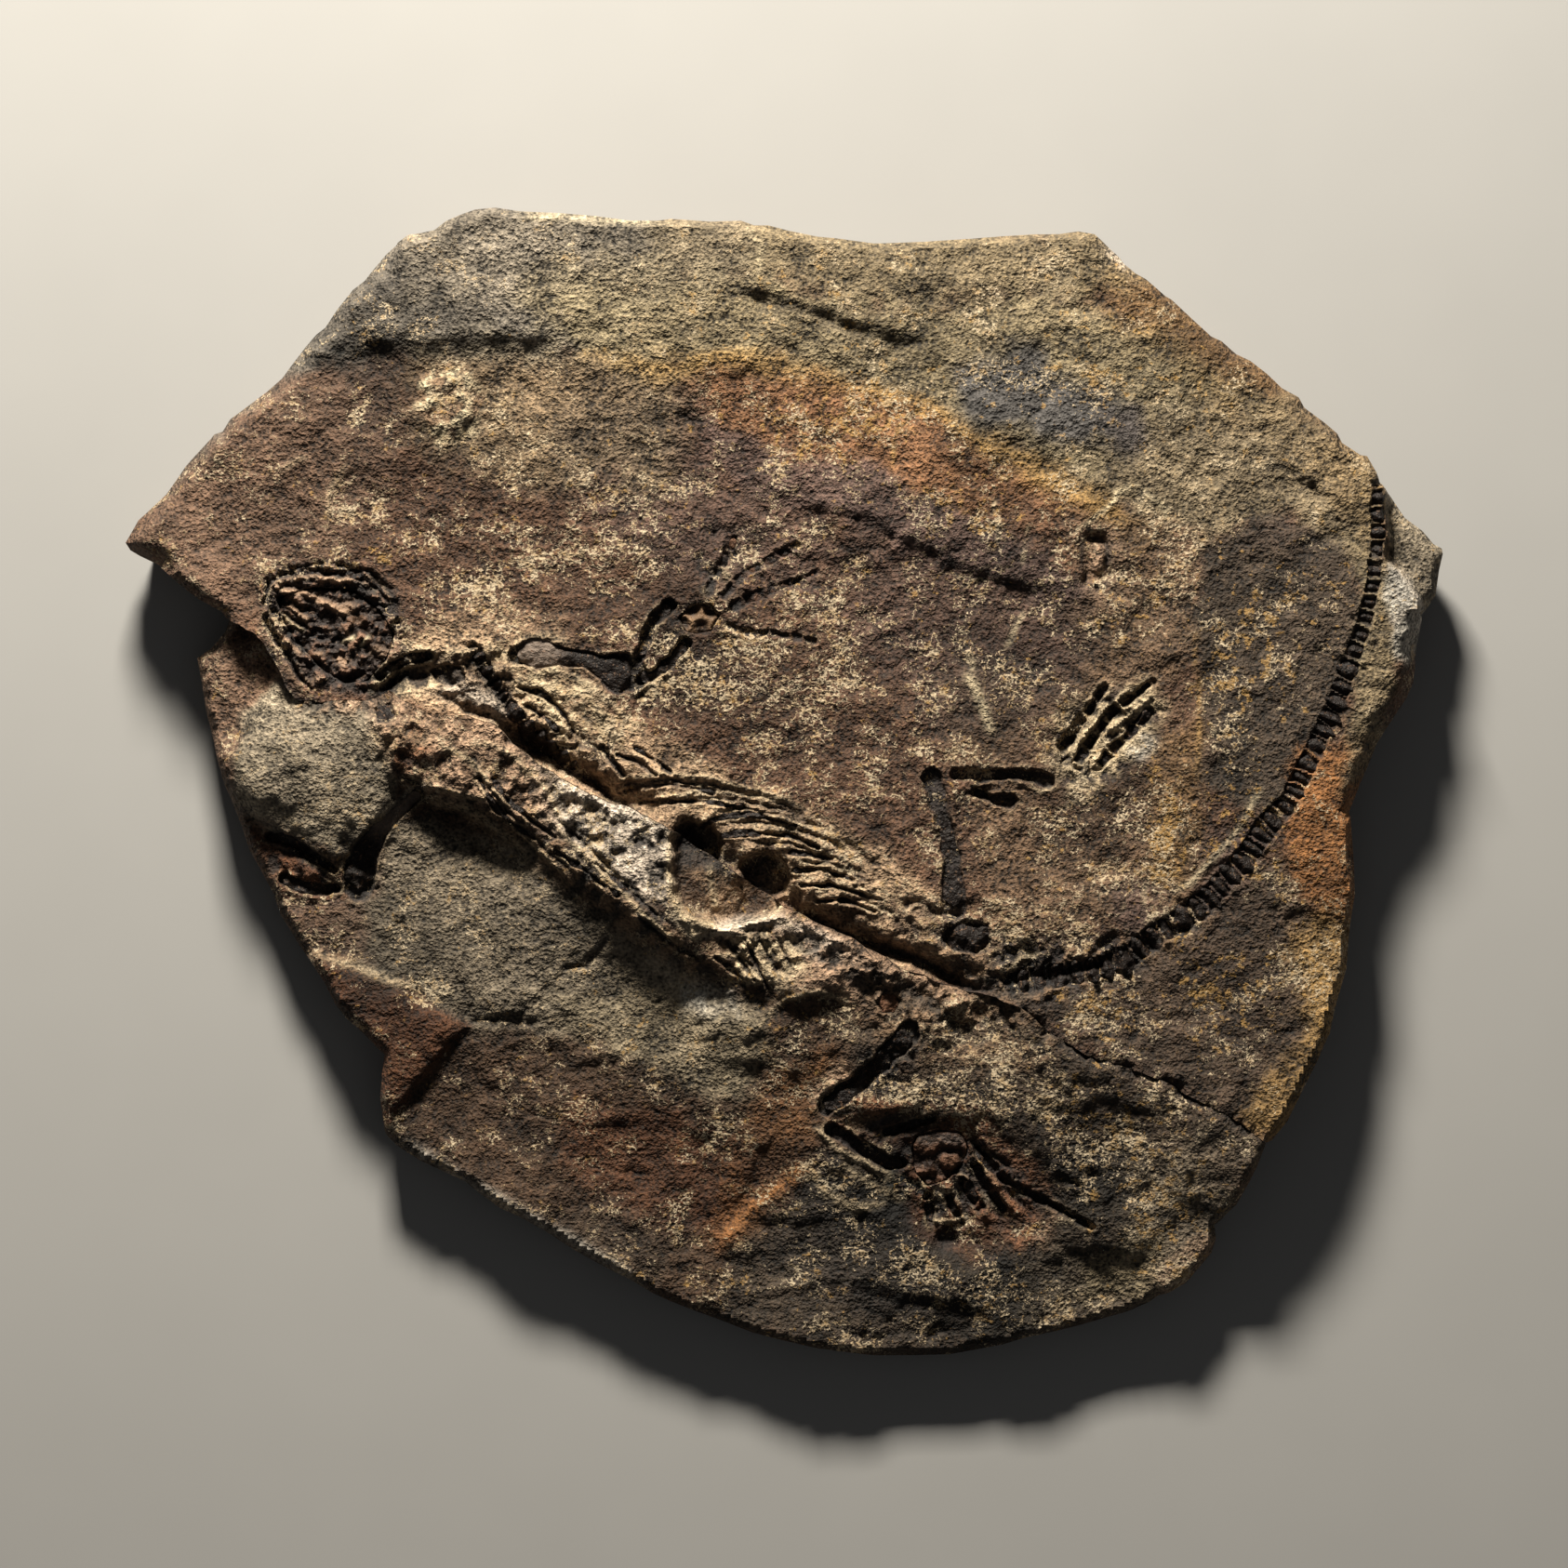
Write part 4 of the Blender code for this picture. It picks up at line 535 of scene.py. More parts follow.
# Broken, lumpy areas: (outline, soft border, height of the lumps, their size, colour of the
# hollows, colour of the tops, share of tops from -1 to 1)
upperRubble = [
    (at(282, 632, 300, 612, 350, 604, 400, 610, 432, 640, 438, 690, 452, 715, 430, 745, 400, 752, 340, 740, 318, 722,
     292, 680), 1.0, 1.4, 2.1, "black", "skullBrown", -0.8),
    (at(470, 700, 510, 690, 545, 700, 560, 730, 590, 770, 640, 800, 660, 840, 640, 850, 560, 800, 520, 770, 470, 750),
     1.5, 1.5, 3.4, "lowerBrown", "buff", -0.1),
    (at(545, 725, 600, 745, 650, 790, 720, 800, 860, 880, 960, 950, 1040, 1020, 1050, 1050, 900, 990, 760, 900,
     650, 845, 600, 800), 2.5, 0.8, 3.6, "lowerBrown", "buff", 0.45),
    (at(800, 940, 900, 1000, 960, 1030, 1040, 1060, 1090, 1070, 1130, 1050, 1110, 1010, 1050, 990, 1010, 975,
     960, 985, 1000, 1020), 2.0, 1.2, 3.5, "black", "tan", -0.1),
    (at(1060, 1020, 1120, 1010, 1240, 1000, 1290, 960, 1310, 985, 1260, 1020, 1200, 1055, 1120, 1080, 1070, 1075),
     2.0, 1.2, 3.2, "black", "tan", -0.25),
    (at(1130, 820, 1140, 770, 1180, 745, 1230, 732, 1250, 760, 1225, 810, 1180, 845, 1150, 850), 2.0, 0.8, 2.6,
     "black", "rim", 0.2),
    (at(400, 745, 425, 715, 455, 700, 480, 705, 470, 740, 420, 755), 1.2, 1.0, 3.0, "black", "rim", -0.1),
    (paleKnob, 1.0, 0.8, 3.0, "tan", "cream", 0.0),
    (at(520, 690, 600, 700, 640, 740, 665, 800, 600, 790, 560, 740), 2.0, 0.5, 4.0, "tan", "rim", 0.2),
    # painted shade: black between the lumps darkens this deep round hole as its shade would, the lump tops keep the
    # stone's brown
    (roundHole, 0.7, 0.2, 3.0,
     "black", "lowerBrown", -1.2),
    # painted shade: black darkens the deep hole at the cavity's north-west corner as its shade would
    (darkHole, 0.7, 0.3, 3.0, "black", "lowerBrown", -1.4),
]
lowerRubble = [
    (at(300, 700, 330, 740, 420, 745, 440, 755, 400, 770, 330, 765, 300, 735), 1.5, 1.2, 3.2, "black", "pinkish",
     -0.2),
    (at(400, 745, 435, 745, 470, 765, 530, 775, 600, 835, 620, 860, 600, 900, 560, 880, 480, 850, 430, 835, 405, 790),
     2.0, 1.0, 3.0, "lowerBrown", "pinkish", 0.1),
    (at(418, 782, 440, 774, 462, 784, 468, 806, 455, 826, 430, 830, 416, 810), 1.5, 0.2, 4.0, "brick", "buff", -0.3),
    (at(590, 830, 640, 850, 700, 875, 735, 900, 725, 970, 690, 960, 640, 925, 590, 880), 2.0, 2.2, 4.2, "black",
     "white", 0.2),
    (at(750, 985, 850, 985, 910, 1015, 1000, 1050, 1060, 1075, 1090, 1085, 1040, 1110, 960, 1090, 900, 1050,
     800, 1030), 2.5, 1.6, 3.8, "black", "pinkish", 0.1),
    (at(770, 1005, 850, 1000, 870, 1040, 830, 1070, 790, 1050), 2.0, 0.8, 3.0, "lowerBrown", "rim", 0.2),
    (at(930, 1050, 1090, 1080, 1140, 1120, 1110, 1150, 1000, 1130, 930, 1110), 3.0, 1.0, 4.0, "darkGrey", "tan",
     0.0),
    (at(920, 1125, 985, 1120, 980, 1165, 930, 1170), 1.5, 1.0, 2.6, "black", "lowerBrown", -0.4),
    (at(975, 1230, 1040, 1225, 1100, 1260, 1120, 1300, 1060, 1310, 990, 1310, 970, 1270), 2.0, 0.7, 2.4, "black",
     "terracotta", 0.2),
    (at(260, 880, 300, 890, 360, 930, 410, 900, 405, 960, 350, 970, 300, 960), 2.0, 1.0, 4.0, "black", "terracotta",
     0.1),
    (at(740, 1062, 785, 1062, 790, 1088, 742, 1088), 2.0, 0.4, 3.0, "greyGreen", "greyWhite", 0.0),
    (at(722, 900, 738, 888, 770, 905, 800, 930, 850, 962, 846, 974, 826, 986, 776, 998, 744, 988, 722, 968), 0.8, 0.3,
     6.0, "lowerBrown", "tan", 0.4),
    # painted shade: black in the cavity's north-west corner, where the north wall's shadow falls
    (at(724, 888, 765, 900, 800, 932, 800, 948, 770, 938, 752, 930, 732, 930), 0.7, 0.2, 4.0, "black", "lowerBrown",
     -1.6),
    (at(505, 860, 600, 900, 740, 1010, 800, 1060, 740, 1050, 600, 950, 500, 880), 2.0, 0.8, 3.6, "black", "tan",
     -0.1),
]

# Soft lighter and darker spots of both halves, partly the stone's own tone and partly painted light that lightens
# places lying in the relief's shadow: (place, reach in places, share lighter or darker)
toneAndPaintedLightSpots = [
    (400, 390, 85, -0.6), (1290, 400, 80, -0.35), (1075, 500, 70, -0.35), (1190, 610, 80, -0.45), (300, 725, 70, 0.9),
    (520, 760, 90, 1.0), (625, 835, 85, 1.0), (740, 815, 70, 0.6), (745, 720, 85, -0.75), (1075, 725, 80, -0.6),
    (1185, 840, 80, -0.5), (860, 965, 60, 0.8), (410, 1050, 85, -0.6), (755, 1035, 60, 1.0), (1000, 1050, 90, 0.6),
    (965, 1275, 85, -1.1), (1180, 1275, 80, -0.85), (1295, 1275, 65, 1.3), (1075, 1385, 85, -0.8),
    (745, 1270, 80, -0.35), (580, 400, 80, 0.5), (960, 490, 60, 0.4), (960, 380, 60, -0.35), (640, 955, 100, -0.35),
    (520, 280, 70, 0.35), (1190, 1385, 65, 1.0), (310, 600, 60, -0.2), (500, 490, 60, -0.25), (1400, 730, 60, 0.3),
    (1290, 690, 50, -0.3),
]

# Soft spots of flecks: (place, reach across and up in places, cream, ochre, dark)
upperFlecks = [
    (640, 560, 330, 160, 0.22, 0.15, 0.25), (880, 720, 260, 200, 0.32, 0.2, 0.3), (520, 640, 100, 80, 0.6, 0.2, 0.1),
    (620, 600, 110, 60, 0.5, 0.15, 0.2), (720, 740, 90, 60, 0.55, 0.2, 0.3), (860, 760, 120, 80, 0.55, 0.1, 0.3),
    (960, 700, 120, 70, 0.38, 0.1, 0.3), (1150, 760, 90, 70, 0.25, 0.2, 0.2), (1180, 900, 110, 80, 0.5, 0.25, 0.3),
    (1110, 1000, 80, 50, 0.7, 0.2, 0.2), (950, 860, 70, 60, 0.45, 0.2, 0.2), (480, 430, 50, 60, 0.4, 0.3, 0.1),
    (340, 540, 80, 60, 0.2, 0.15, 0.2), (740, 480, 100, 50, 0.12, 0.2, 0.2), (900, 450, 130, 50, 0.3, 0.6, 0.1),
    (1050, 540, 80, 50, 0.3, 0.5, 0.2), (1220, 640, 60, 60, 0.6, 0.5, 0.1), (1340, 700, 60, 100, 0.1, 0.5, 0.4),
    (1340, 880, 60, 70, 0.25, 0.6, 0.3), (1250, 900, 40, 90, 0.4, 0.7, 0.1), (1180, 1080, 80, 50, 0.35, 0.5, 0.4),
    (1300, 1060, 90, 70, 0.15, 0.6, 0.5), (1410, 1050, 40, 90, 0.3, 0.6, 0.2), (900, 330, 200, 60, 0.1, 0.3, 0.35),
    (1200, 400, 160, 90, 0.1, 0.35, 0.35), (500, 320, 140, 60, 0.1, 0.05, 0.3), (1420, 640, 50, 120, 0.2, 0.4, 0.3),
    (640, 780, 60, 50, 0.6, 0.2, 0.1), (880, 910, 90, 50, 0.5, 0.3, 0.1), (1000, 620, 130, 50, 0.2, 0.1, 0.3),
    (300, 600, 50, 60, 0.15, 0.2, 0.2), (400, 600, 50, 30, 0.2, 0.4, 0.1),
]
lowerFlecks = [
    (330, 820, 70, 60, 0.2, 0.05, 0.3), (520, 1000, 120, 60, 0.15, 0.05, 0.3), (700, 1120, 90, 50, 0.15, 0.3, 0.3),
    (840, 1080, 60, 50, 0.3, 0.4, 0.3), (870, 1140, 50, 50, 0.4, 0.3, 0.2), (1040, 1130, 90, 50, 0.65, 0.3, 0.3),
    (1080, 1180, 90, 40, 0.75, 0.2, 0.3), (1200, 1200, 90, 60, 0.35, 0.5, 0.5), (1260, 1300, 80, 80, 0.4, 0.6, 0.3),
    (960, 1170, 50, 25, 0.7, 0.2, 0.1), (920, 1290, 50, 40, 0.45, 0.2, 0.2), (950, 1390, 120, 50, 0.3, 0.25, 0.5),
    (1100, 1400, 110, 50, 0.3, 0.3, 0.4), (560, 1200, 110, 60, 0.1, 0.1, 0.3), (740, 1380, 90, 40, 0.15, 0.2, 0.2),
    (1160, 1240, 60, 30, 0.7, 0.2, 0.2), (1250, 1380, 40, 25, 0.5, 0.3, 0.1), (450, 820, 50, 40, 0.4, 0.1, 0.3),
    (240, 780, 30, 60, 0.2, 0.1, 0.2), (650, 900, 70, 50, 0.5, 0.1, 0.6), (450, 1060, 60, 30, 0.3, 0.1, 0.2),
]

# Fine relief: lines of (places), height (minus cuts in), half width, colour and its share. Some black and dark grey
# lines are painted shade and a cream one a painted highlight, each marked where it stands.
upperLines = [
    (at(288, 650, 290, 625, 303, 618, 330, 611, 350, 607, 380, 611, 400, 615, 416, 634, 423, 648), -0.9, 0.7, "black",
     0.8),
    (at(290, 640, 296, 629, 310, 621, 345, 620, 366, 627, 390, 619, 410, 631, 420, 646), 0.9, 0.7, "pinkish", 0.9),
    (at(296, 630, 302, 635), 0.9, 0.9, "pinkish", 0.9),
    (at(302, 629, 315, 632, 330, 635, 345, 634, 358, 629), -1.0, 0.9, "black", 0.9),
    (at(300, 638, 315, 637, 330, 640, 345, 648, 360, 655, 372, 660, 382, 655), 0.9, 0.8, "pinkish", 0.9),
    (at(350, 650, 366, 656, 380, 652), 0.6, 1.1, "pinkish", 0.6),
    (at(370, 640, 382, 635, 392, 631, 402, 633, 410, 640), -0.8, 0.9, "black", 0.8),
    (at(378, 642, 392, 645, 404, 650, 418, 653, 430, 652), -1.2, 1.3, "black", 0.9),
    (at(306, 643, 318, 649, 330, 656, 342, 662, 352, 668), -1.0, 0.9, "black", 0.9),
    (at(312, 654, 320, 659, 330, 665, 334, 669), 0.9, 0.6, "pinkish", 0.9),
    (at(308, 661, 318, 667, 328, 672, 336, 678), -0.9, 0.5, "black", 0.9),
    (at(304, 661, 312, 668, 322, 675, 329, 680), 0.8, 0.45, "rim", 0.8),
    (at(292, 655, 300, 662, 308, 675, 318, 688, 326, 700, 336, 708), -1.1, 0.8, "black", 0.9),
    (at(288, 662, 294, 672, 304, 683, 312, 690, 320, 700, 326, 708), 0.9, 0.55, "pinkish", 0.9),
    (at(284, 660, 290, 678, 298, 690, 308, 698, 318, 712, 326, 728), -1.0, 0.8, "black", 0.9),
    (at(280, 664, 288, 686, 300, 700, 310, 712, 318, 730), 0.4, 0.6, "pinkish", 0.5),
    (at(330, 684, 350, 690, 372, 688), -1.2, 2.2, "black", 0.9),
    (at(376, 664, 392, 670, 398, 676), -0.6, 1.4, "lowerBrown", 0.8),
    (at(372, 692, 384, 684), 0.7, 0.5, "cream", 0.8),
    (at(390, 694, 400, 684), 0.7, 0.5, "cream", 0.8),
    (at(340, 706, 350, 706), 0.8, 0.9, "pinkish", 0.8),
    (at(364, 710, 376, 714), 0.8, 1.2, "pinkish", 0.8),
    # painted shadows: this black line and the next stand in for deep shadows below the skull's ridges, beside shallow
    # cuts
    (at(341, 712, 346, 724), -1.3, 1.2, "black", 0.9),
    (at(354, 730, 376, 732, 398, 730), -1.3, 1.4, "black", 0.9),
    (at(342, 728, 347, 733), 0.8, 0.9, "pinkish", 0.8),
    # painted shadow: a deep shadow below the skull's ridges, beside a shallow cut
    (at(392, 738, 396, 747), -1.1, 1.1, "black", 0.9),
    (at(402, 696, 416, 704, 428, 706), 0.7, 1.4, "pinkish", 0.5),
    # painted shadow: this dark grey line under the ledge stands in for its shadow, beside a shallow cut
    (at(790, 316, 815, 322, 840, 335, 868, 338, 890, 350, 930, 362), -0.8, 1.8, "darkGrey", 0.5),
    (at(1163, 578, 1160, 600, 1165, 624, 1176, 634, 1189, 627), -0.9, 0.6, "black", 0.8),
    (at(406, 746, 425, 730, 440, 720, 455, 715), -1.3, 1.1, "black", 0.9),
    (at(404, 684, 420, 683, 436, 690), -0.9, 1.5, "black", 0.6),
    (at(404, 738, 424, 720, 440, 706, 455, 701, 470, 702), 1.3, 0.9, "cream", 0.9),
    (at(416, 738, 440, 728, 462, 725), -1.2, 2.2, "black", 0.7),
    (at(478, 706, 490, 700, 505, 702, 520, 712), 1.0, 1.2, "rim", 0.7),
    (at(500, 706, 515, 716, 530, 734, 545, 765), -1.4, 2.2, "black", 0.9),
    # painted shade: black in the groove beside the break, where its shadow falls
    (at(552, 785, 575, 800, 600, 815), -1.6, 2.0, "black", 0.9),
    (at(556, 812, 590, 806, 615, 822), -1.0, 0.9, "black", 0.8),
    (at(474, 745, 500, 742, 525, 756, 545, 778), 0.8, 2.4, "white", 0.7),
    (at(486, 750, 500, 764, 520, 772), -0.6, 0.5, "black", 0.7),
    (at(545, 718, 550, 700, 562, 688, 590, 684, 612, 690), 0.5, 1.0, "rim", 0.5),
    (at(553, 742, 580, 752, 600, 775), 0.4, 0.9, "rim", 0.5),
    (at(560, 730, 600, 722, 640, 740, 668, 765, 690, 790), 0.5, 0.9, "cream", 0.3),
    (at(590, 826, 620, 838, 650, 857, 690, 872), 0.8, 1.4, "pinkish", 0.5),
    (at(963, 990, 976, 970, 992, 970, 1008, 983, 1039, 982), -1.0, 1.0, "black", 0.6),
    (at(1077, 1036, 1083, 1024, 1105, 1017), -0.7, 0.7, "black", 0.6),
    (at(1102, 1036, 1112, 1024, 1125, 1021), -0.7, 0.7, "black", 0.6),
    (at(1084, 1044, 1096, 1030, 1118, 1026), 0.5, 0.7, "rim", 0.6),
    # painted shade: black in the groove beside the break, where its shadow falls
    (at(556, 790, 580, 806, 610, 826, 640, 842, 660, 860, 690, 872), -3.2, 1.5, "black", 0.9),
    (at(500, 762, 530, 770, 560, 795), -1.6, 1.2, "black", 0.7),
    # painted shade: black in the deep groove along the break, where the higher side's shadow falls
    (at(845, 972, 872, 986, 911, 1006, 931, 1015, 978, 1028, 1018, 1048, 1046, 1064, 1072, 1066), -3.0, 1.6, "black",
     0.9),
    (at(1072, 1064, 1099, 1052, 1151, 1043, 1200, 1030), -1.6, 1.1, "black", 0.8),
    (at(1090, 1078, 1134, 1111, 1172, 1133, 1243, 1156, 1318, 1196, 1360, 1226), -1.8, 0.5, "black", 0.95),
    (at(1234, 1150, 1243, 1156, 1290, 1180), -0.8, 0.7, "black", 0.8),
    (at(655, 850, 700, 838, 760, 842, 820, 858, 870, 878), -1.0, 0.5, "black", 0.85),
    (at(700, 868, 750, 857, 800, 860, 850, 874, 890, 892), -1.0, 0.5, "black", 0.85),
    (at(775, 886, 820, 884, 870, 896, 910, 914), -1.0, 0.5, "black", 0.85),
    (at(858, 926, 890, 928, 930, 940), -0.9, 0.5, "black", 0.8),
    (at(868, 950, 905, 954, 950, 968), -0.9, 0.5, "black", 0.8),
    (at(655, 843, 700, 831, 760, 835, 820, 851, 870, 871), 0.5, 0.5, "rim", 0.6),
    (at(700, 861, 750, 850, 800, 853, 850, 867), 0.5, 0.5, "rim", 0.6),
    (at(775, 879, 820, 877, 870, 889, 910, 907), 0.5, 0.5, "rim", 0.6),
    # painted shade: black in the cavity's north-west corner, where the north wall's shadow falls, beside a cut
    (at(728, 888, 745, 905, 770, 920, 800, 925), -1.5, 2.6, "black", 0.9),
    (at(668, 815, 684, 818, 703, 833), -0.9, 0.55, "black", 0.8),
    (at(625, 793, 650, 812, 672, 834), -0.9, 0.6, "black", 0.8),
    (at(602, 803, 620, 805, 636, 804), -0.8, 0.5, "black", 0.8),
    (at(630, 827, 645, 824, 658, 821), -0.8, 0.5, "black", 0.8),
    (at(579, 801, 605, 803, 633, 801), -0.8, 0.5, "black", 0.8),
    (at(690, 842, 720, 838, 760, 846, 800, 858), -0.7, 0.45, "black", 0.7),
    (at(770, 872, 800, 868, 850, 880, 880, 890), -0.7, 0.45, "black", 0.7),
    (at(800, 905, 850, 908, 900, 922, 930, 940), -0.7, 0.45, "black", 0.7),
    (at(860, 936, 900, 934, 940, 950), -0.6, 0.4, "black", 0.7),
    (at(890, 965, 930, 966, 960, 980), -0.6, 0.4, "black", 0.7),
    (at(660, 862, 700, 852, 750, 856, 810, 868), 0.3, 0.6, "rim", 0.3),
    (at(745, 882, 800, 884, 860, 896, 890, 912), 0.3, 0.6, "rim", 0.3),
    (at(800, 912, 860, 926, 905, 936), 0.3, 0.6, "rim", 0.3),
    (at(870, 950, 920, 956, 960, 966), 0.3, 0.6, "rim", 0.3),
    # painted shadow: these two black lines along the east step stand in for its shadow, beside shallow cuts
    (at(1340, 485, 1370, 500, 1400, 520, 1420, 540), -0.8, 0.9, "black", 0.4),
    (at(1420, 556, 1455, 570), -0.7, 0.7, "black", 0.4),
    # painted highlight: the cream line along the north edge stands in for the light the edge catches
    (at(560, 235, 642, 240, 708, 245), 0.3, 1.0, "cream", 0.8),
    (at(1190, 270, 1212, 290), -0.5, 2.0, "white", 0.8),
    (at(1176, 586, 1178, 600, 1178, 616), 2.3, 1.9, "pinkish", 0.95),
    (at(1164, 584, 1180, 578, 1190, 590, 1190, 622), -1.0, 0.9, "black", 0.9),
    (at(1061, 475, 1068, 510), 0.15, 0.35, "ochre", 0.8),
    (at(963, 461, 957, 510), 0.15, 0.35, "ochre", 0.8),
    (at(1065, 538, 1075, 587), 0.15, 0.35, "cream", 0.6),
    (at(929, 443, 981, 464), 0.15, 0.35, "ochre", 0.8),
    (at(890, 420, 884, 445), 0.15, 0.3, "ochre", 0.8),
    (at(1103, 566, 1100, 608), 0.15, 0.35, "cream", 0.5),
    (at(1020, 520, 1040, 560), 0.15, 0.3, "ochre", 0.6),
    (at(1204, 955, 1212, 1005), 0.1, 0.3, "rim", 0.5),
    (at(1225, 950, 1235, 1000), 0.1, 0.3, "rim", 0.5),
    (at(1150, 575, 1165, 566, 1185, 552, 1198, 540, 1200, 530, 1215, 525, 1225, 527, 1240, 540, 1252, 550, 1253, 582),
     0.45, 0.55, "cream", 0.7),
    (at(1243, 696, 1262, 693, 1281, 688), -0.6, 0.6, "black", 0.5),
    (at(1284, 680, 1286, 760, 1285, 835), 0.3, 0.5, "ochre", 0.5),
    (at(1283, 688, 1284, 700), -0.8, 0.7, "black", 0.6),
    (at(306, 506, 322, 497, 333, 495), 0.4, 0.7, "rim", 0.4),
    (at(375, 502, 356, 533, 356, 560), 0.4, 0.8, "rim", 0.4),
    (at(207, 588, 215, 594, 222, 600), -0.7, 0.7, "black", 0.5),
    (at(1040, 725, 1052, 750, 1066, 790), 0.4, 1.0, "cream", 0.7),
    (at(1042, 700, 1048, 722), 0.3, 0.7, "cream", 0.6),
    (at(1100, 660, 1080, 695), 0.3, 0.6, "cream", 0.5),
    (at(1260, 960, 1280, 945, 1300, 925, 1330, 890, 1352, 850), 0.4, 0.8, "cream", 0.6),
    (at(1140, 950, 1200, 935, 1215, 945), -0.5, 0.8, "black", 0.2),
    (at(800, 250, 818, 268, 815, 300), 0.3, 0.7, "cream", 0.4),
    (at(700, 380, 760, 388, 820, 386), 0.5, 1.5, "ochre", 0.3),
    (at(1138, 872, 1150, 862, 1178, 858), 0.3, 0.6, "cream", 0.3),
    (at(1140, 816, 1142, 818), -1.6, 1.6, "black", 0.95),
    (at(284, 688, 299, 714, 313, 738, 326, 753, 350, 756), -0.8, 1.9, "black", 0.95),
    (at(300, 712, 316, 738, 330, 750), 0.6, 0.5, "pinkish", 0.6),
    (at(748, 606, 757, 598), -1.0, 1.3, "black", 0.9),
    (at(762, 626, 769, 612), -1.0, 1.3, "black", 0.9),
    (at(766, 580, 774, 568), -0.9, 1.2, "black", 0.8),
    (at(784, 604, 792, 596), -0.9, 1.1, "black", 0.8),
    (at(756, 634, 764, 636), 0.5, 1.0, "rim", 0.8),
    (at(774, 612, 784, 624), 0.4, 0.8, "rim", 0.7),
    (at(724, 700, 716, 716, 700, 726), 0.4, 1.0, "rim", 0.5),
    (at(1168, 770, 1176, 758), -1.3, 1.3, "black", 0.9),
    (at(1196, 770, 1204, 762), -1.3, 1.5, "black", 0.9),
    (at(1214, 754, 1228, 742), -1.3, 1.5, "black", 0.9),
    (at(1210, 786, 1222, 776), -1.3, 1.3, "black", 0.9),
    (at(1150, 800, 1156, 786), -1.3, 1.5, "black", 0.9),
    (at(1168, 806, 1180, 790), -1.3, 1.2, "black", 0.9),
    (at(1156, 827, 1172, 808, 1188, 787, 1204, 774, 1222, 762, 1238, 748), 0.8, 0.45, "rim", 0.9),
    (at(1150, 812, 1160, 795, 1173, 780, 1190, 760, 1210, 748), 0.8, 0.45, "rim", 0.9),
    (at(1172, 824, 1190, 803, 1206, 790, 1222, 778, 1236, 762), 0.8, 0.45, "rim", 0.8),
    (at(1182, 776, 1192, 786), 0.6, 0.4, "rim", 0.8),
    (at(1200, 756, 1212, 768), 0.6, 0.4, "rim", 0.8),
    (at(1222, 789, 1236, 800, 1226, 812, 1208, 806), 0.4, 1.6, "greyWhite", 0.6),
    (at(1016, 985, 1030, 1000, 1050, 1020), 0.8, 2.2, "black", 0.9),
    (at(1108, 844, 1119, 835, 1130, 844, 1119, 853, 1108, 844), 0.3, 0.5, "rim", 0.7),
    (at(1492, 604, 1505, 615, 1519, 639, 1527, 658), 0.6, 0.8, "white", 0.5),
    (at(1492, 669, 1519, 655, 1524, 671, 1505, 698), 0.5, 0.8, "white", 0.4),
]
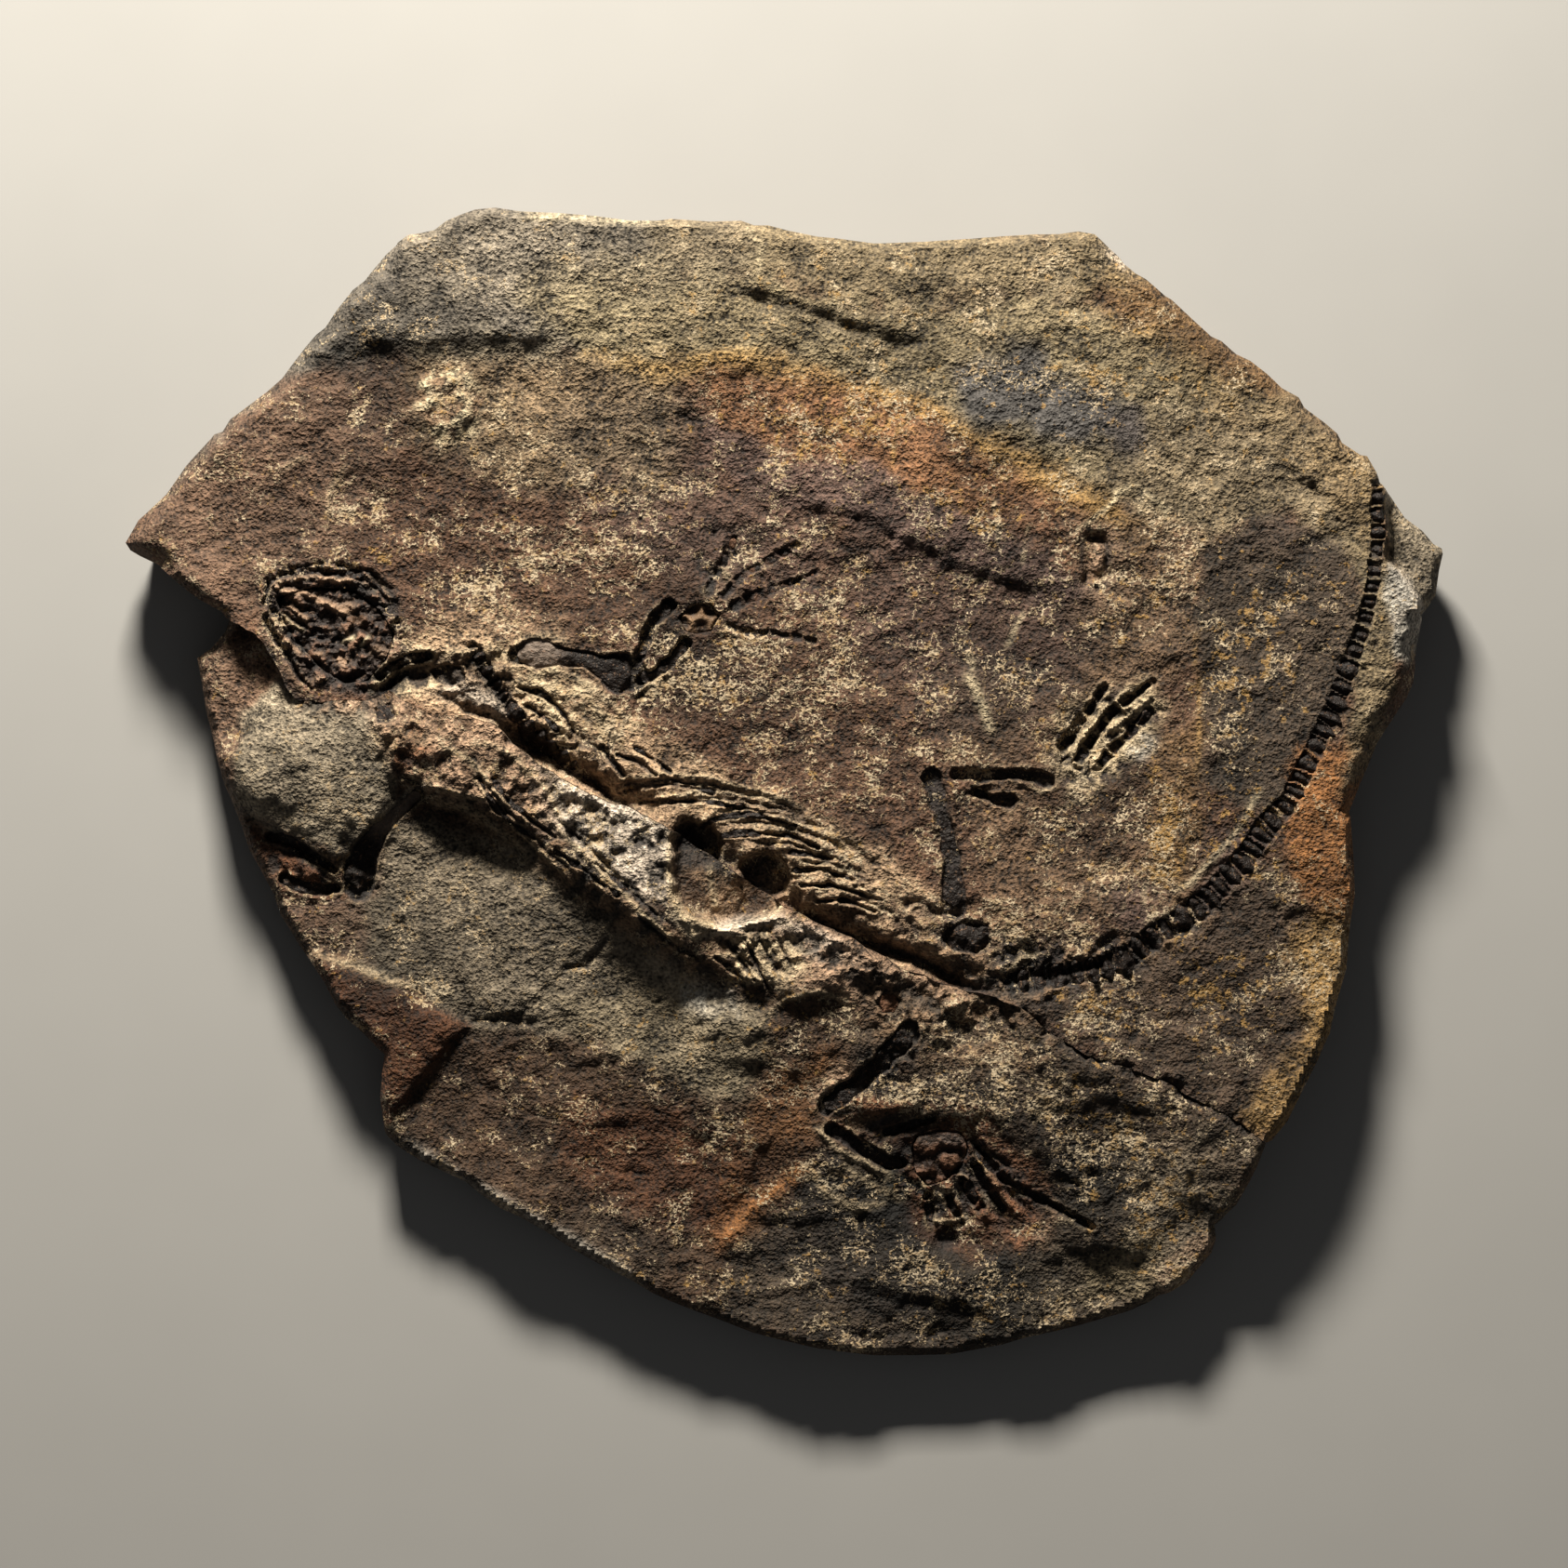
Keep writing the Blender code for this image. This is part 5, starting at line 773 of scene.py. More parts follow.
lowerLines = [
    (at(317, 700, 330, 725, 345, 742), 0.6, 0.9, "pinkish", 0.5),
    (at(330, 735, 352, 745, 372, 735, 395, 745, 408, 738), -1.4, 1.6, "black", 0.7),
    (at(602, 841, 630, 855, 660, 870, 706, 882, 728, 895), 1.4, 1.3, "white", 0.9),
    (at(850, 985, 887, 1003, 935, 1028, 983, 1053), 0.8, 1.2, "pinkish", 0.6),
    (at(595, 850, 605, 862, 612, 870), -1.0, 2.0, "black", 0.8),
    (at(680, 900, 690, 912), -1.0, 2.2, "black", 0.8),
    (at(640, 880, 655, 890), -0.8, 1.6, "black", 0.7),
    (at(700, 925, 712, 935), -0.7, 1.5, "black", 0.6),
    (at(722, 884, 719, 920, 722, 960, 735, 985, 779, 1000, 834, 984, 850, 955), 0.9, 1.0, "rim", 0.8),
    (at(763, 930, 766, 955, 772, 980), 0.8, 0.9, "rim", 0.6),
    (at(735, 985, 752, 1010), 0.4, 0.6, "rim", 0.7),
    (at(464, 852, 490, 860, 518, 860), -0.8, 0.7, "black", 0.6),
    (at(470, 846, 500, 856, 530, 858), 0.5, 0.8, "rim", 0.5),
    (at(464, 842, 440, 854, 415, 880), 0.8, 1.2, "greyWhite", 0.5),
    (at(365, 900, 385, 915, 400, 940, 395, 962), -1.8, 3.0, "black", 0.8),
    (at(414, 795, 424, 780, 445, 775, 466, 784, 470, 798), 0.9, 1.2, "pinkish", 0.9),
    (at(430, 792, 455, 796), 1.2, 3.0, "tan", 0.8),
    (at(432, 812, 448, 822, 462, 826), -0.8, 1.2, "black", 0.8),
    (at(422, 821, 440, 838, 460, 842), -0.9, 0.8, "black", 0.8),
    (at(404, 752, 414, 764, 424, 776), -0.9, 2.0, "black", 0.7),
    (at(478, 800, 500, 812, 520, 830, 540, 858, 552, 870), 0.7, 0.8, "rim", 0.6),
    (at(506, 800, 530, 800, 560, 818, 590, 850, 604, 880), 0.7, 0.8, "rim", 0.5),
    (at(545, 790, 560, 800, 575, 815), -1.2, 1.6, "black", 0.8),
    (at(788, 1008, 800, 1030, 822, 1054), -1.0, 0.5, "black", 0.9),
    (at(812, 1002, 824, 1026, 840, 1050), -1.0, 0.5, "black", 0.9),
    (at(832, 998, 842, 1020, 853, 1042), -1.0, 0.5, "black", 0.9),
    (at(800, 1004, 812, 1028, 831, 1052), 0.6, 0.5, "rim", 0.8),
    (at(822, 1000, 833, 1022, 848, 1046), 0.6, 0.5, "rim", 0.8),
    (at(765, 1000, 800, 992, 840, 990, 880, 1005, 905, 1020), 0.6, 1.8, "white", 0.7),
    (at(600, 880, 650, 925, 700, 975, 735, 1005), -1.0, 0.5, "black", 0.9),
    (at(585, 878, 640, 928, 690, 980, 725, 1012), 0.6, 0.6, "rim", 0.6),
    (at(522, 838, 545, 870, 580, 905, 620, 940), -0.9, 0.5, "black", 0.9),
    (at(512, 836, 535, 868, 570, 905, 610, 942), 0.6, 0.6, "rim", 0.6),
    (at(1090, 1086, 1134, 1115, 1172, 1137, 1243, 1160, 1318, 1200, 1360, 1230), -1.8, 0.5, "black", 0.95),
    (at(462, 862, 500, 868, 540, 895, 575, 925), 1.0, 1.3, "rim", 0.5),
    (at(559, 1098, 566, 1079), -0.7, 0.6, "black", 0.6),
    (at(598, 1037, 630, 1040, 655, 1005), -0.9, 0.6, "black", 0.7),
    (at(674, 1155, 703, 1165, 738, 1187), -0.4, 0.6, "black", 0.4),
    (at(331, 1022, 391, 1042, 449, 1064), 0.6, 1.0, "rim", 0.5),
    (at(500, 1099, 538, 1096, 583, 1099), -0.9, 1.0, "black", 0.5),
    (at(872, 1254, 840, 1275, 811, 1295, 776, 1337), 0.8, 2.0, "rust", 0.7),
    # painted shadow: black along the low ledge stands in for its shadow, beside a shallow cut
    (at(910, 1380, 941, 1396, 1012, 1405), -0.4, 0.8, "black", 0.4),
    (at(900, 1434, 996, 1437, 1059, 1425), -0.6, 0.7, "black", 0.5),
    (at(1120, 1259, 1142, 1240), -0.6, 0.6, "black", 0.5),
    (at(1133, 1259, 1165, 1280), -0.8, 0.8, "black", 0.5),
    (at(1165, 1262, 1200, 1259), -0.6, 0.6, "black", 0.4),
    (at(1074, 1081, 1080, 1100, 1096, 1111), -0.5, 0.6, "black", 0.4),
    (at(814, 1108, 824, 1092, 846, 1073, 878, 1064, 905, 1075, 915, 1100), 0.5, 0.7, "rim", 0.5),
    (at(880, 1181, 903, 1168, 926, 1155), -0.8, 0.9, "black", 0.7),
    (at(876, 1208, 900, 1235, 960, 1268), 0.7, 0.8, "rim", 0.6),
    (at(869, 1259, 890, 1285, 918, 1299, 952, 1293), 0.5, 0.9, "rim", 0.6),
    (at(905, 1250, 940, 1275, 972, 1290), 0.4, 0.8, "rim", 0.5),
    # painted shade: black above the ankle's upper plates, where their shade falls, beside a cut
    (at(971, 1208, 985, 1202, 1001, 1207), -1.2, 1.3, "black", 0.7),
    (at(1041, 1226, 1062, 1240, 1089, 1256), -1.2, 0.9, "black", 0.8),
    (at(998, 1312, 1020, 1314, 1041, 1309), 0.7, 0.6, "rim", 0.6),
    (at(1008, 1330, 1018, 1336, 1030, 1330), -2.4, 2.6, "black", 0.9),
    (at(1043, 1326, 1059, 1348, 1069, 1358), -0.9, 0.9, "black", 0.7),
    (at(1070, 1315, 1089, 1328), -0.9, 1.0, "black", 0.7),
    (at(1086, 1278, 1100, 1284, 1119, 1291), -1.1, 1.3, "black", 0.8),
    (at(1026, 1262, 1034, 1290, 1042, 1318), -1.6, 1.3, "black", 0.95),
    (at(1048, 1256, 1062, 1284, 1078, 1310), -1.6, 1.5, "black", 0.95),
    (at(1004, 1272, 1006, 1290, 1009, 1308), -1.5, 1.2, "black", 0.95),
    (at(1044, 1220, 1068, 1256, 1090, 1286, 1114, 1312), -1.3, 1.0, "black", 0.9),
    (at(1016, 1272, 1022, 1292, 1026, 1310), 0.7, 0.9, "brick", 0.8),
    (at(1036, 1266, 1048, 1288, 1060, 1312), 0.7, 1.0, "brick", 0.8),
    (at(1062, 1262, 1080, 1288, 1096, 1306), 0.6, 1.2, "brick", 0.8),
    (at(1096, 1300, 1112, 1318, 1096, 1336, 1080, 1322), 0.7, 1.6, "brick", 0.8),
    (at(910, 1180, 940, 1190, 980, 1190), 0.8, 2.0, "brick", 0.7),
    (at(930, 1214, 950, 1204, 975, 1196), -1.2, 1.4, "black", 0.9),
    (at(942, 1222, 975, 1216, 1000, 1216), -1.0, 1.2, "black", 0.8),
    (at(1135, 1303, 1126, 1320, 1110, 1336), 0.5, 0.7, "pinkish", 0.6),
    (at(1108, 1339, 1113, 1352), -0.9, 0.7, "black", 0.7),
    (at(1119, 1291, 1150, 1306, 1175, 1318), -0.6, 0.9, "black", 0.5),
    (at(300, 925, 330, 930, 345, 940), 0.6, 1.2, "terracotta", 0.4),
    (at(290, 905, 310, 916, 340, 924), -1.0, 1.0, "black", 0.6),
    (at(744, 1240, 744, 1248), -1.2, 0.6, "black", 0.7),
    (at(711, 1050, 711, 1052), -1.4, 0.7, "black", 0.8),
    (at(709, 1073, 709, 1076), -1.2, 0.6, "black", 0.7),
    (at(795, 1232, 795, 1235), -1.2, 0.6, "black", 0.7),
    (at(597, 1357, 620, 1345, 660, 1352), 0.3, 0.6, "rim", 0.4),
    (at(424, 1222, 470, 1250, 520, 1280, 560, 1302, 620, 1338, 700, 1384), 0.1, 1.5, "greyWhite", 0.5),
]

reliefNoise = {"wide": 0.6, "middle": 0.42, "fine": 0.2, "flake": 1.05, "flakeSharpness": 7}
patternNoise = {"lineWander": 0.8, "areaWander": 5.0, "ragged": 0.6, "mottle": 0.5}


def stoneSurface(x, y, half, boneNames=(), plain=False):  # height, colour and flecks of one half's face
    upper = half == "upper"
    relief = ((upperLevels, upperLedges, upperPatches, upperGrooves) if upper
              else (lowerLevels, lowerLedges, lowerPatches, lowerGrooves))
    height = bedHeight(x, y, *relief)
    if not upper:  # the halves are level beside the east end of the break
        away, _, _ = lineField(x, y, breakLine)
        level = eased((x - slab["evenFrom"]) / slab["evenReach"]) * np.exp(-((away / slab["evenReach"]) ** 2))
        height += (bedHeight(x, y, upperLevels, upperLedges, upperPatches, upperGrooves) - height) * level
    lines = upperLines if upper else lowerLines
    tint = np.tile(np.array(stoneColours["basin" if upper else "lowerBrown"]), (len(x), 1))
    lineX = x + patternNoise["lineWander"] * layeredNoise(x, y, 5, 23, 3, 0.6)
    lineY = y + patternNoise["lineWander"] * layeredNoise(x, y, 5, 27, 3, 0.6)
    areaX = x + patternNoise["areaWander"] * layeredNoise(x, y, 22, 3, 5, 0.7)
    areaY = y + patternNoise["areaWander"] * layeredNoise(x, y, 22, 13, 5, 0.7)
    if not plain:
        ragged = layeredNoise(x, y, 7, 17, 4, 0.75)
        for outline, soft, colour, share in upperAreas if upper else lowerAreas:
            mask = areaShare(areaX, areaY, outline, soft * 1.5) * 1.8 - 0.4 + patternNoise["ragged"] * ragged
            tint += (np.array(stoneColours[colour]) - tint) * (share * eased(mask))[:, None]
        mottle = layeredNoise(x, y, 9, 21, 5, 0.75)
        tone = 1 + patternNoise["mottle"] * mottle
        # painted light mixed with the stone's own tone: some spots lighten places that the relief's shadows darken
        for across, down, reach, share in toneAndPaintedLightSpots:
            (spotX, spotY), = at(across, down)
            tone *= 1 + share * np.exp(-((areaX - spotX) ** 2 + (areaY - spotY) ** 2) * (4 / reach) ** 2)
        tint *= tone[:, None]
    for outline, soft, rise, size, low, high, share in upperRubble if upper else lowerRubble:
        mask = areaShare(lineX, lineY, outline, soft * 1.6)
        near = np.flatnonzero(mask > 0.001)
        lumps = layeredNoise(x[near], y[near], size, 151, 4, 0.6) * 1.6
        height[near] += rise * mask[near] * (lumps - 0.3)
        tops = eased((lumps + share * 0.6) * 2.2 + 0.5)[:, None]
        colours = np.array(stoneColours[low]) * (1 - tops) + np.array(stoneColours[high]) * tops
        tint[near] += (colours - tint[near]) * (0.85 * mask[near])[:, None]
    for points, rise, halfWidth, colour, share in lines:
        near, away, _, along = nearLine(lineX, lineY, points, halfWidth * 3)
        fade = np.sqrt(np.clip(np.minimum(along, 1 - along) * 8, 0, 1))
        form = np.exp(-((away / halfWidth) ** 2)) * np.clip(fade, 0.2, 1)
        height[near] += rise * form
        tint[near] += (np.array(stoneColours[colour]) - tint[near]) * (share * form)[:, None]
    flecks = np.tile(np.array([0.06, 0.06, 0.15]), (len(x), 1))
    if plain:
        return height, tint, flecks
    for across, down, reachX, reachY, *amounts in upperFlecks if upper else lowerFlecks:
        (spotX, spotY), = at(across, down)
        near = np.exp(-(((areaX - spotX) * 4 / reachX) ** 2 + ((areaY - spotY) * 4 / reachY) ** 2))
        flecks = np.maximum(flecks, near[:, None] * np.array(amounts))
    lowered(x, y, height, tint, boneNames)
    height += reliefNoise["wide"] * layeredNoise(x, y, 16, 41, 3)
    height += reliefNoise["middle"] * layeredNoise(x, y, 5, 51, 3)
    height += reliefNoise["fine"] * layeredNoise(x, y, 2.2, 61, 2)
    steps = 3.2 * layeredNoise(x, y, 26, 71, 5, 0.6)
    risers = eased((steps - np.floor(steps)) * reliefNoise["flakeSharpness"])
    height += reliefNoise["flake"] * (np.floor(steps) + risers) * 0.6
    soft = slab["softTop"]
    over = np.maximum(height - slab["highest"] + soft, 0)
    return height - over + soft * np.tanh(over / soft), tint, flecks


def trimmedGrid(outline, cell):  # an even grid cut to an outline, with its border drawn onto it
    across = [p[0] for p in outline]
    up = [p[1] for p in outline]
    half = max(max(across) - min(across), max(up) - min(up)) / 2 + cell
    count = math.ceil(2 * half / cell)
    bm = bmesh.new()
    bmesh.ops.create_grid(bm, x_segments=count, y_segments=count, size=half)
    middle = Vector(((max(across) + min(across)) / 2, (max(up) + min(up)) / 2, 0))
    bmesh.ops.translate(bm, verts=bm.verts[:], vec=middle)
    x, y = np.array([v.co[:2] for v in bm.verts]).T
    away, _, _ = lineField(x, y, outline + outline[:1])
    kept = inside(x, y, outline) & (away > 0.3 * cell)
    bmesh.ops.delete(bm, geom=[v for v, keep in zip(bm.verts, kept) if not keep], context="VERTS")
    pinched = [1]
    while pinched:
        pinched = [v for v in bm.verts if sum(e.is_boundary for e in v.link_edges) > 2 or not v.link_faces]
        bmesh.ops.delete(bm, geom=pinched, context="VERTS")
    border = [v for v in bm.verts if v.is_boundary]
    for vert in border:
        vert.co.xy = nearestOn(vert.co.xy, outline)
    free = set(border)
    for corner in outline:  # a border point goes to each corner, so that the tips stay pointed
        closest = min(free, key=lambda v: (v.co.x - corner[0]) ** 2 + (v.co.y - corner[1]) ** 2)
        if math.dist(closest.co.xy, corner) < 2.5 * cell:
            closest.co.xy = corner
            free.discard(closest)
    bm.verts.index_update()
    return bm


def nearestOn(place, outline):
    best = None
    for start, end in zip(outline, outline[1:] + outline[:1]):
        start = Vector(start)
        run = Vector(end) - start
        share = min(max((place - start).dot(run) / run.length_squared, 0), 1)
        spot = start + run * share
        gap = (spot - place).length
        if best is None or gap < best[0]:
            best = (gap, spot)
    return best[1]


def refine(bm, wanted):  # halves the cells where wanted(x, y) says so
    x, y = np.array([v.co[:2] for v in bm.verts]).T
    bm.verts.index_update()
    chosen = wanted(x, y)
    picked = [e for e in bm.edges if chosen[e.verts[0].index] and chosen[e.verts[1].index]]
    bmesh.ops.subdivide_edges(bm, edges=picked, cuts=1, use_grid_fill=True)


def boneClearance(x, y, names):
    clearance = np.full(x.shape, 50.0)
    for name in names:
        if name in smoothBones:
            places = smoothBones[name]
            near, away, _, along = nearLine(x, y, [tuple(p[:2]) for p in places], 8)
            clear = away - np.interp(along, np.linspace(0, 1, len(places)), places[:, 2])
        else:
            outline = flatBones[name]
            near, away, _, _ = nearLine(x, y, outline + outline[:1], 8)
            clear = np.where(inside(x[near], y[near], outline), -away, away)
        clearance[near] = np.minimum(clearance[near], clear)
    return clearance


bevels = {"westEnd": -104, "westFoot": 58, "eastEnd": 146, "eastFoot": -8, "eastTop": 46}


def edgeFall(x, y, edge):  # how far the face falls away at the slab's outer edge
    away, _, _ = lineField(x, y, edge)
    uneven = 1 + 0.5 * layeredNoise(x, y, 5, 81, 3)
    west = (x < bevels["westEnd"]) & (y > bevels["westFoot"])
    east = (x > bevels["eastEnd"]) & (y > bevels["eastFoot"]) & (y < bevels["eastTop"])
    slanted = west | east
    width = np.where(slanted, slab["bevelWidth"], slab["edgeWidth"]) * uneven
    fall = np.where(slanted, slab["bevelFall"], slab["edgeFall"])
    return fall * np.clip(1 - away / width, 0, 1) ** 1.5


def addColours(mesh, name, values):
    attribute = mesh.color_attributes.new(name, "FLOAT_COLOR", "POINT")
    attribute.data.foreach_set("color", np.hstack([values, np.ones((len(values), 1))]).astype(np.float32).ravel())


def finishedPiece(name, bm, material, smoothAngle=50):
    bmesh.ops.scale(bm, vec=(mm, mm, mm), verts=bm.verts[:])
    mesh = bpy.data.meshes.new(name)
    bm.to_mesh(mesh)
    bm.free()
    mesh.shade_smooth()
    mesh.set_sharp_from_angle(angle=math.radians(smoothAngle))
    piece = bpy.data.objects.new(name, mesh)
    mesh.materials.append(material)
    bpy.context.scene.collection.objects.link(piece)
    return piece


def closeBelow(bm, depth):  # draws the border straight down, then fills it
    loop = [e for e in bm.edges if e.is_boundary]
    made = bmesh.ops.extrude_edge_only(bm, edges=loop)["geom"]
    loop = [e for e in made if isinstance(e, bmesh.types.BMEdge)]
    for vert in [v for v in made if isinstance(v, bmesh.types.BMVert)]:
        vert.co.z -= depth
    bmesh.ops.holes_fill(bm, edges=loop, sides=0)
    bmesh.ops.recalc_face_normals(bm, faces=bm.faces[:])


def raggedLine(points):  # the break is ragged between its corners
    places = np.array(points, float)
    walked = np.concatenate([[0], np.cumsum(np.hypot(*np.diff(places, axis=0).T))])
    stops = np.linspace(0, walked[-1], round(walked[-1] / 1.2))
    x = np.interp(stops, walked, places[:, 0])
    y = np.interp(stops, walked, places[:, 1])
    fade = eased(np.minimum(stops, walked[-1] - stops) / 5)
    x += slab["breakRagged"] * fade * layeredNoise(x, y, 5, 181, 3, 0.7)
    y += slab["breakRagged"] * fade * layeredNoise(x, y, 5, 187, 3, 0.7)
    return list(zip(x.tolist(), y.tolist()))


def shifted(points, by):
    moved = []
    for i, (x, y) in enumerate(points):
        before = points[max(i - 1, 0)]
        after = points[min(i + 1, len(points) - 1)]
        run = math.hypot(after[0] - before[0], after[1] - before[1])
        moved.append((x - (after[1] - before[1]) / run * by, y + (after[0] - before[0]) / run * by))
    return moved


fineArea = at(275, 610, 400, 600, 450, 690, 580, 700, 720, 790, 900, 870, 1060, 990, 1200, 1000, 1200, 1050,
    1080, 1110, 900, 1110, 740, 1040, 580, 930, 440, 860, 330, 770)


def makeSlab(half, edge, material):
    upper = half == "upper"
    crack = shifted(raggedLine(breakLine), slab["breakGap"] / 2 * (1 if upper else -1))
    if upper:
        crack = crack[::-1]
    outline = [crack[-1], *edge[1:-1], crack[0], *crack[1:-1]]
    names = [name for name in [*longBones, *flatBones] if inHalf(name) == half]
    bm = trimmedGrid(outline, slab["cells"][half])
    refine(bm, lambda x, y: (boneClearance(x, y, names) < slab["fineReach"]) | inside(x, y, fineArea))
    refine(bm, lambda x, y: np.abs(boneClearance(x, y, names) - slab["lipMiddle"]) < slab["lipReach"])
    x, y = np.array([v.co[:2] for v in bm.verts]).T
    height, _, _ = stoneSurface(x, y, half, names)
    height -= edgeFall(x, y, edge)
    for vert, z in zip(bm.verts, height):
        vert.co.z = z
    closeSides(bm, breakLine)
    piece = finishedPiece("stone_" + half, bm, material)
    places = np.empty(len(piece.data.vertices) * 3, np.float32)
    piece.data.vertices.foreach_get("co", places)
    x, y, z = places.reshape(-1, 3).T.astype(float) / mm
    height, tint, flecks = stoneSurface(x, y, half, names)
    below = np.clip((height - edgeFall(x, y, edge) - z) / 2, 0, 1)
    bands = 0.5 + 0.5 * np.sin(z * 2.1 + 2 * layeredNoise(x, y, 20, 91, 3))
    side = np.array(stoneColours["lowerBrown"]) * (0.7 + 0.9 * bands[:, None])
    tint += (side - tint) * below[:, None]
    addColours(piece.data, "stoneTint", tint)
    addColours(piece.data, "stoneFlecks", flecks * (1 - 0.6 * below[:, None]))
    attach(piece, "root")
    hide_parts("slab_" + half)
    print("made", piece.name, "with", sum(len(p.vertices) - 2 for p in piece.data.polygons), "triangles")


def closeSides(bm, crack):  # rough split sides, tucked in towards the flat underside
    loop = [e for e in bm.edges if e.is_boundary]
    home = {v: (v.co.copy(), awayFrom(v.co, crack)) for v in bm.verts if v.is_boundary}
    for share in slab["sideRings"]:
        made = bmesh.ops.extrude_edge_only(bm, edges=loop)["geom"]
        loop = [e for e in made if isinstance(e, bmesh.types.BMEdge)]
        fresh = [v for v in made if isinstance(v, bmesh.types.BMVert)]
        freshSet = set(fresh)
        following = {}
        for vert in fresh:
            older = next(e.other_vert(vert) for e in vert.link_edges if e.other_vert(vert) not in freshSet)
            following[vert] = home[older]
        x = np.array([following[v][0].x for v in fresh])
        y = np.array([following[v][0].y for v in fresh])
        rough = layeredNoise(x + 9 * share, y - 7 * share, 4, 95, 3)
        step = plainNoise(x + 300 * share, y, 22, 97)
        for vert, lumps, shelf in zip(fresh, rough, step):
            top, clear = following[vert]
            free = min(max(clear - 1.4, 0) / 6, 1)
            uneven = (slab["sideRough"] * lumps + slab["shelfRise"] * shelf) * math.sin(math.pi * share)
            inset = max(slab["undercut"] * share**1.6 + uneven, 0.15) * free
            reach = math.hypot(top.x, top.y)
            vert.co = (top.x * (1 - inset / reach), top.y * (1 - inset / reach), top.z * (1 - share))
        home = following
    bmesh.ops.holes_fill(bm, edges=loop, sides=0)
    bmesh.ops.recalc_face_normals(bm, faces=bm.faces[:])


def awayFrom(place, line):
    away, _, _ = lineField(np.array([place.x]), np.array([place.y]), line)
    return float(away[0])


def inHalf(name):
    x, y = (longBones[name][0] if name in longBones else flatBones[name][0])[:2]
    within = inside(np.array([x]), np.array([y]), [*lowerEdge, *breakLine[1:-1]])[0]
    return "lower" if within else "upper"


class Socket:
    def __init__(self, tree, link):
        self.tree = tree
        self.link = link

    def math(self, operation, other=None, first=True):
        values = [self] if other is None else [self, other] if first else [other, self]
        return self.tree.add("ShaderNodeMath", {"operation": operation}, *values)

    def __add__(self, other):
        return self.math("ADD", other)

    def __radd__(self, other):
        return self.math("ADD", other)

    def __sub__(self, other):
        return self.math("SUBTRACT", other)

    def __rsub__(self, other):
        return self.math("SUBTRACT", other, False)

    def __mul__(self, other):
        return self.math("MULTIPLY", other)

    def __rmul__(self, other):
        return self.math("MULTIPLY", other)

    def clamped(self):
        return self.tree.add("ShaderNodeClamp", {}, self)


class Finish:
    def __init__(self, name, roughness, specular):
        self.material = bpy.data.materials.new(name)
        self.material.use_nodes = True
        self.nodes = self.material.node_tree.nodes
        self.links = self.material.node_tree.links
        self.shader = self.nodes["Principled BSDF"]
        self.shader.inputs["Roughness"].default_value = roughness
        self.shader.inputs["Specular IOR Level"].default_value = specular

    def add(self, kind, settings, *values, output=0, **named):
        node = self.nodes.new(kind)
        for key, value in settings.items():
            setattr(node, key, value)
        for key, value in [*enumerate(values), *named.items()]:
            socket = node.inputs[key if isinstance(key, int) else key.replace("_", " ")]
            if isinstance(value, Socket):
                self.links.new(value.link, socket)
            else:
                socket.default_value = value
        return Socket(self, node.outputs[output])

    def places(self):
        objectPlaces = self.add("ShaderNodeTexCoord", {}, output="Object")
        return self.add("ShaderNodeVectorMath", {"operation": "SCALE"}, objectPlaces, Scale=1000.0)

    def noise(self, places, scale, detail=4.0, roughness=0.6):
        return self.add("ShaderNodeTexNoise", {}, Vector=places, Scale=scale, Detail=detail,
                        Roughness=roughness)

    def band(self, value, low, high):  # 0 below low, 1 above high, smooth between
        return self.add("ShaderNodeMapRange", {"interpolation_type": "SMOOTHSTEP"}, value, low, high, 0.0, 1.0)

    def mixed(self, first, second, share, blend="MIX"):
        node = self.nodes.new("ShaderNodeMix")
        node.data_type = "RGBA"
        node.blend_type = blend
        for key, value in ((0, share), (6, first), (7, second)):
            if isinstance(value, Socket):
                self.links.new(value.link, node.inputs[key])
            elif key == 0:
                node.inputs[key].default_value = value
            else:
                node.inputs[key].default_value = (*value, 1)
        return Socket(self, node.outputs[2])

    def scaled(self, colour, value):  # a colour times a number
        grey = self.add("ShaderNodeCombineColor", {}, value, value, value)
        return self.mixed(colour, grey, 1.0, "MULTIPLY")

    def attribute(self, name):
        return self.add("ShaderNodeAttribute", {"attribute_name": name}, output="Color")

    def parts(self, colour):
        node = self.nodes.new("ShaderNodeSeparateColor")
        self.links.new(colour.link, node.inputs[0])
        return [Socket(self, node.outputs[k]) for k in range(3)]

    def finish(self, colour, roughness, height, depth):
        bump = self.add("ShaderNodeBump", {}, Strength=1.0, Distance=depth, Height=height)
        self.links.new(colour.link, self.shader.inputs["Base Color"])
        self.links.new(roughness.link, self.shader.inputs["Roughness"])
        self.links.new(bump.link, self.shader.inputs["Normal"])
        return self.material


stoneFinish = {
    "bumpDepth": 0.001,
    "roughness": 0.82,
    "cream": (0.46, 0.375, 0.255),
    "crustOchre": (0.36, 0.265, 0.155),
    "ochre": (0.34, 0.20, 0.06),
    "dark": (0.03, 0.027, 0.025),
}


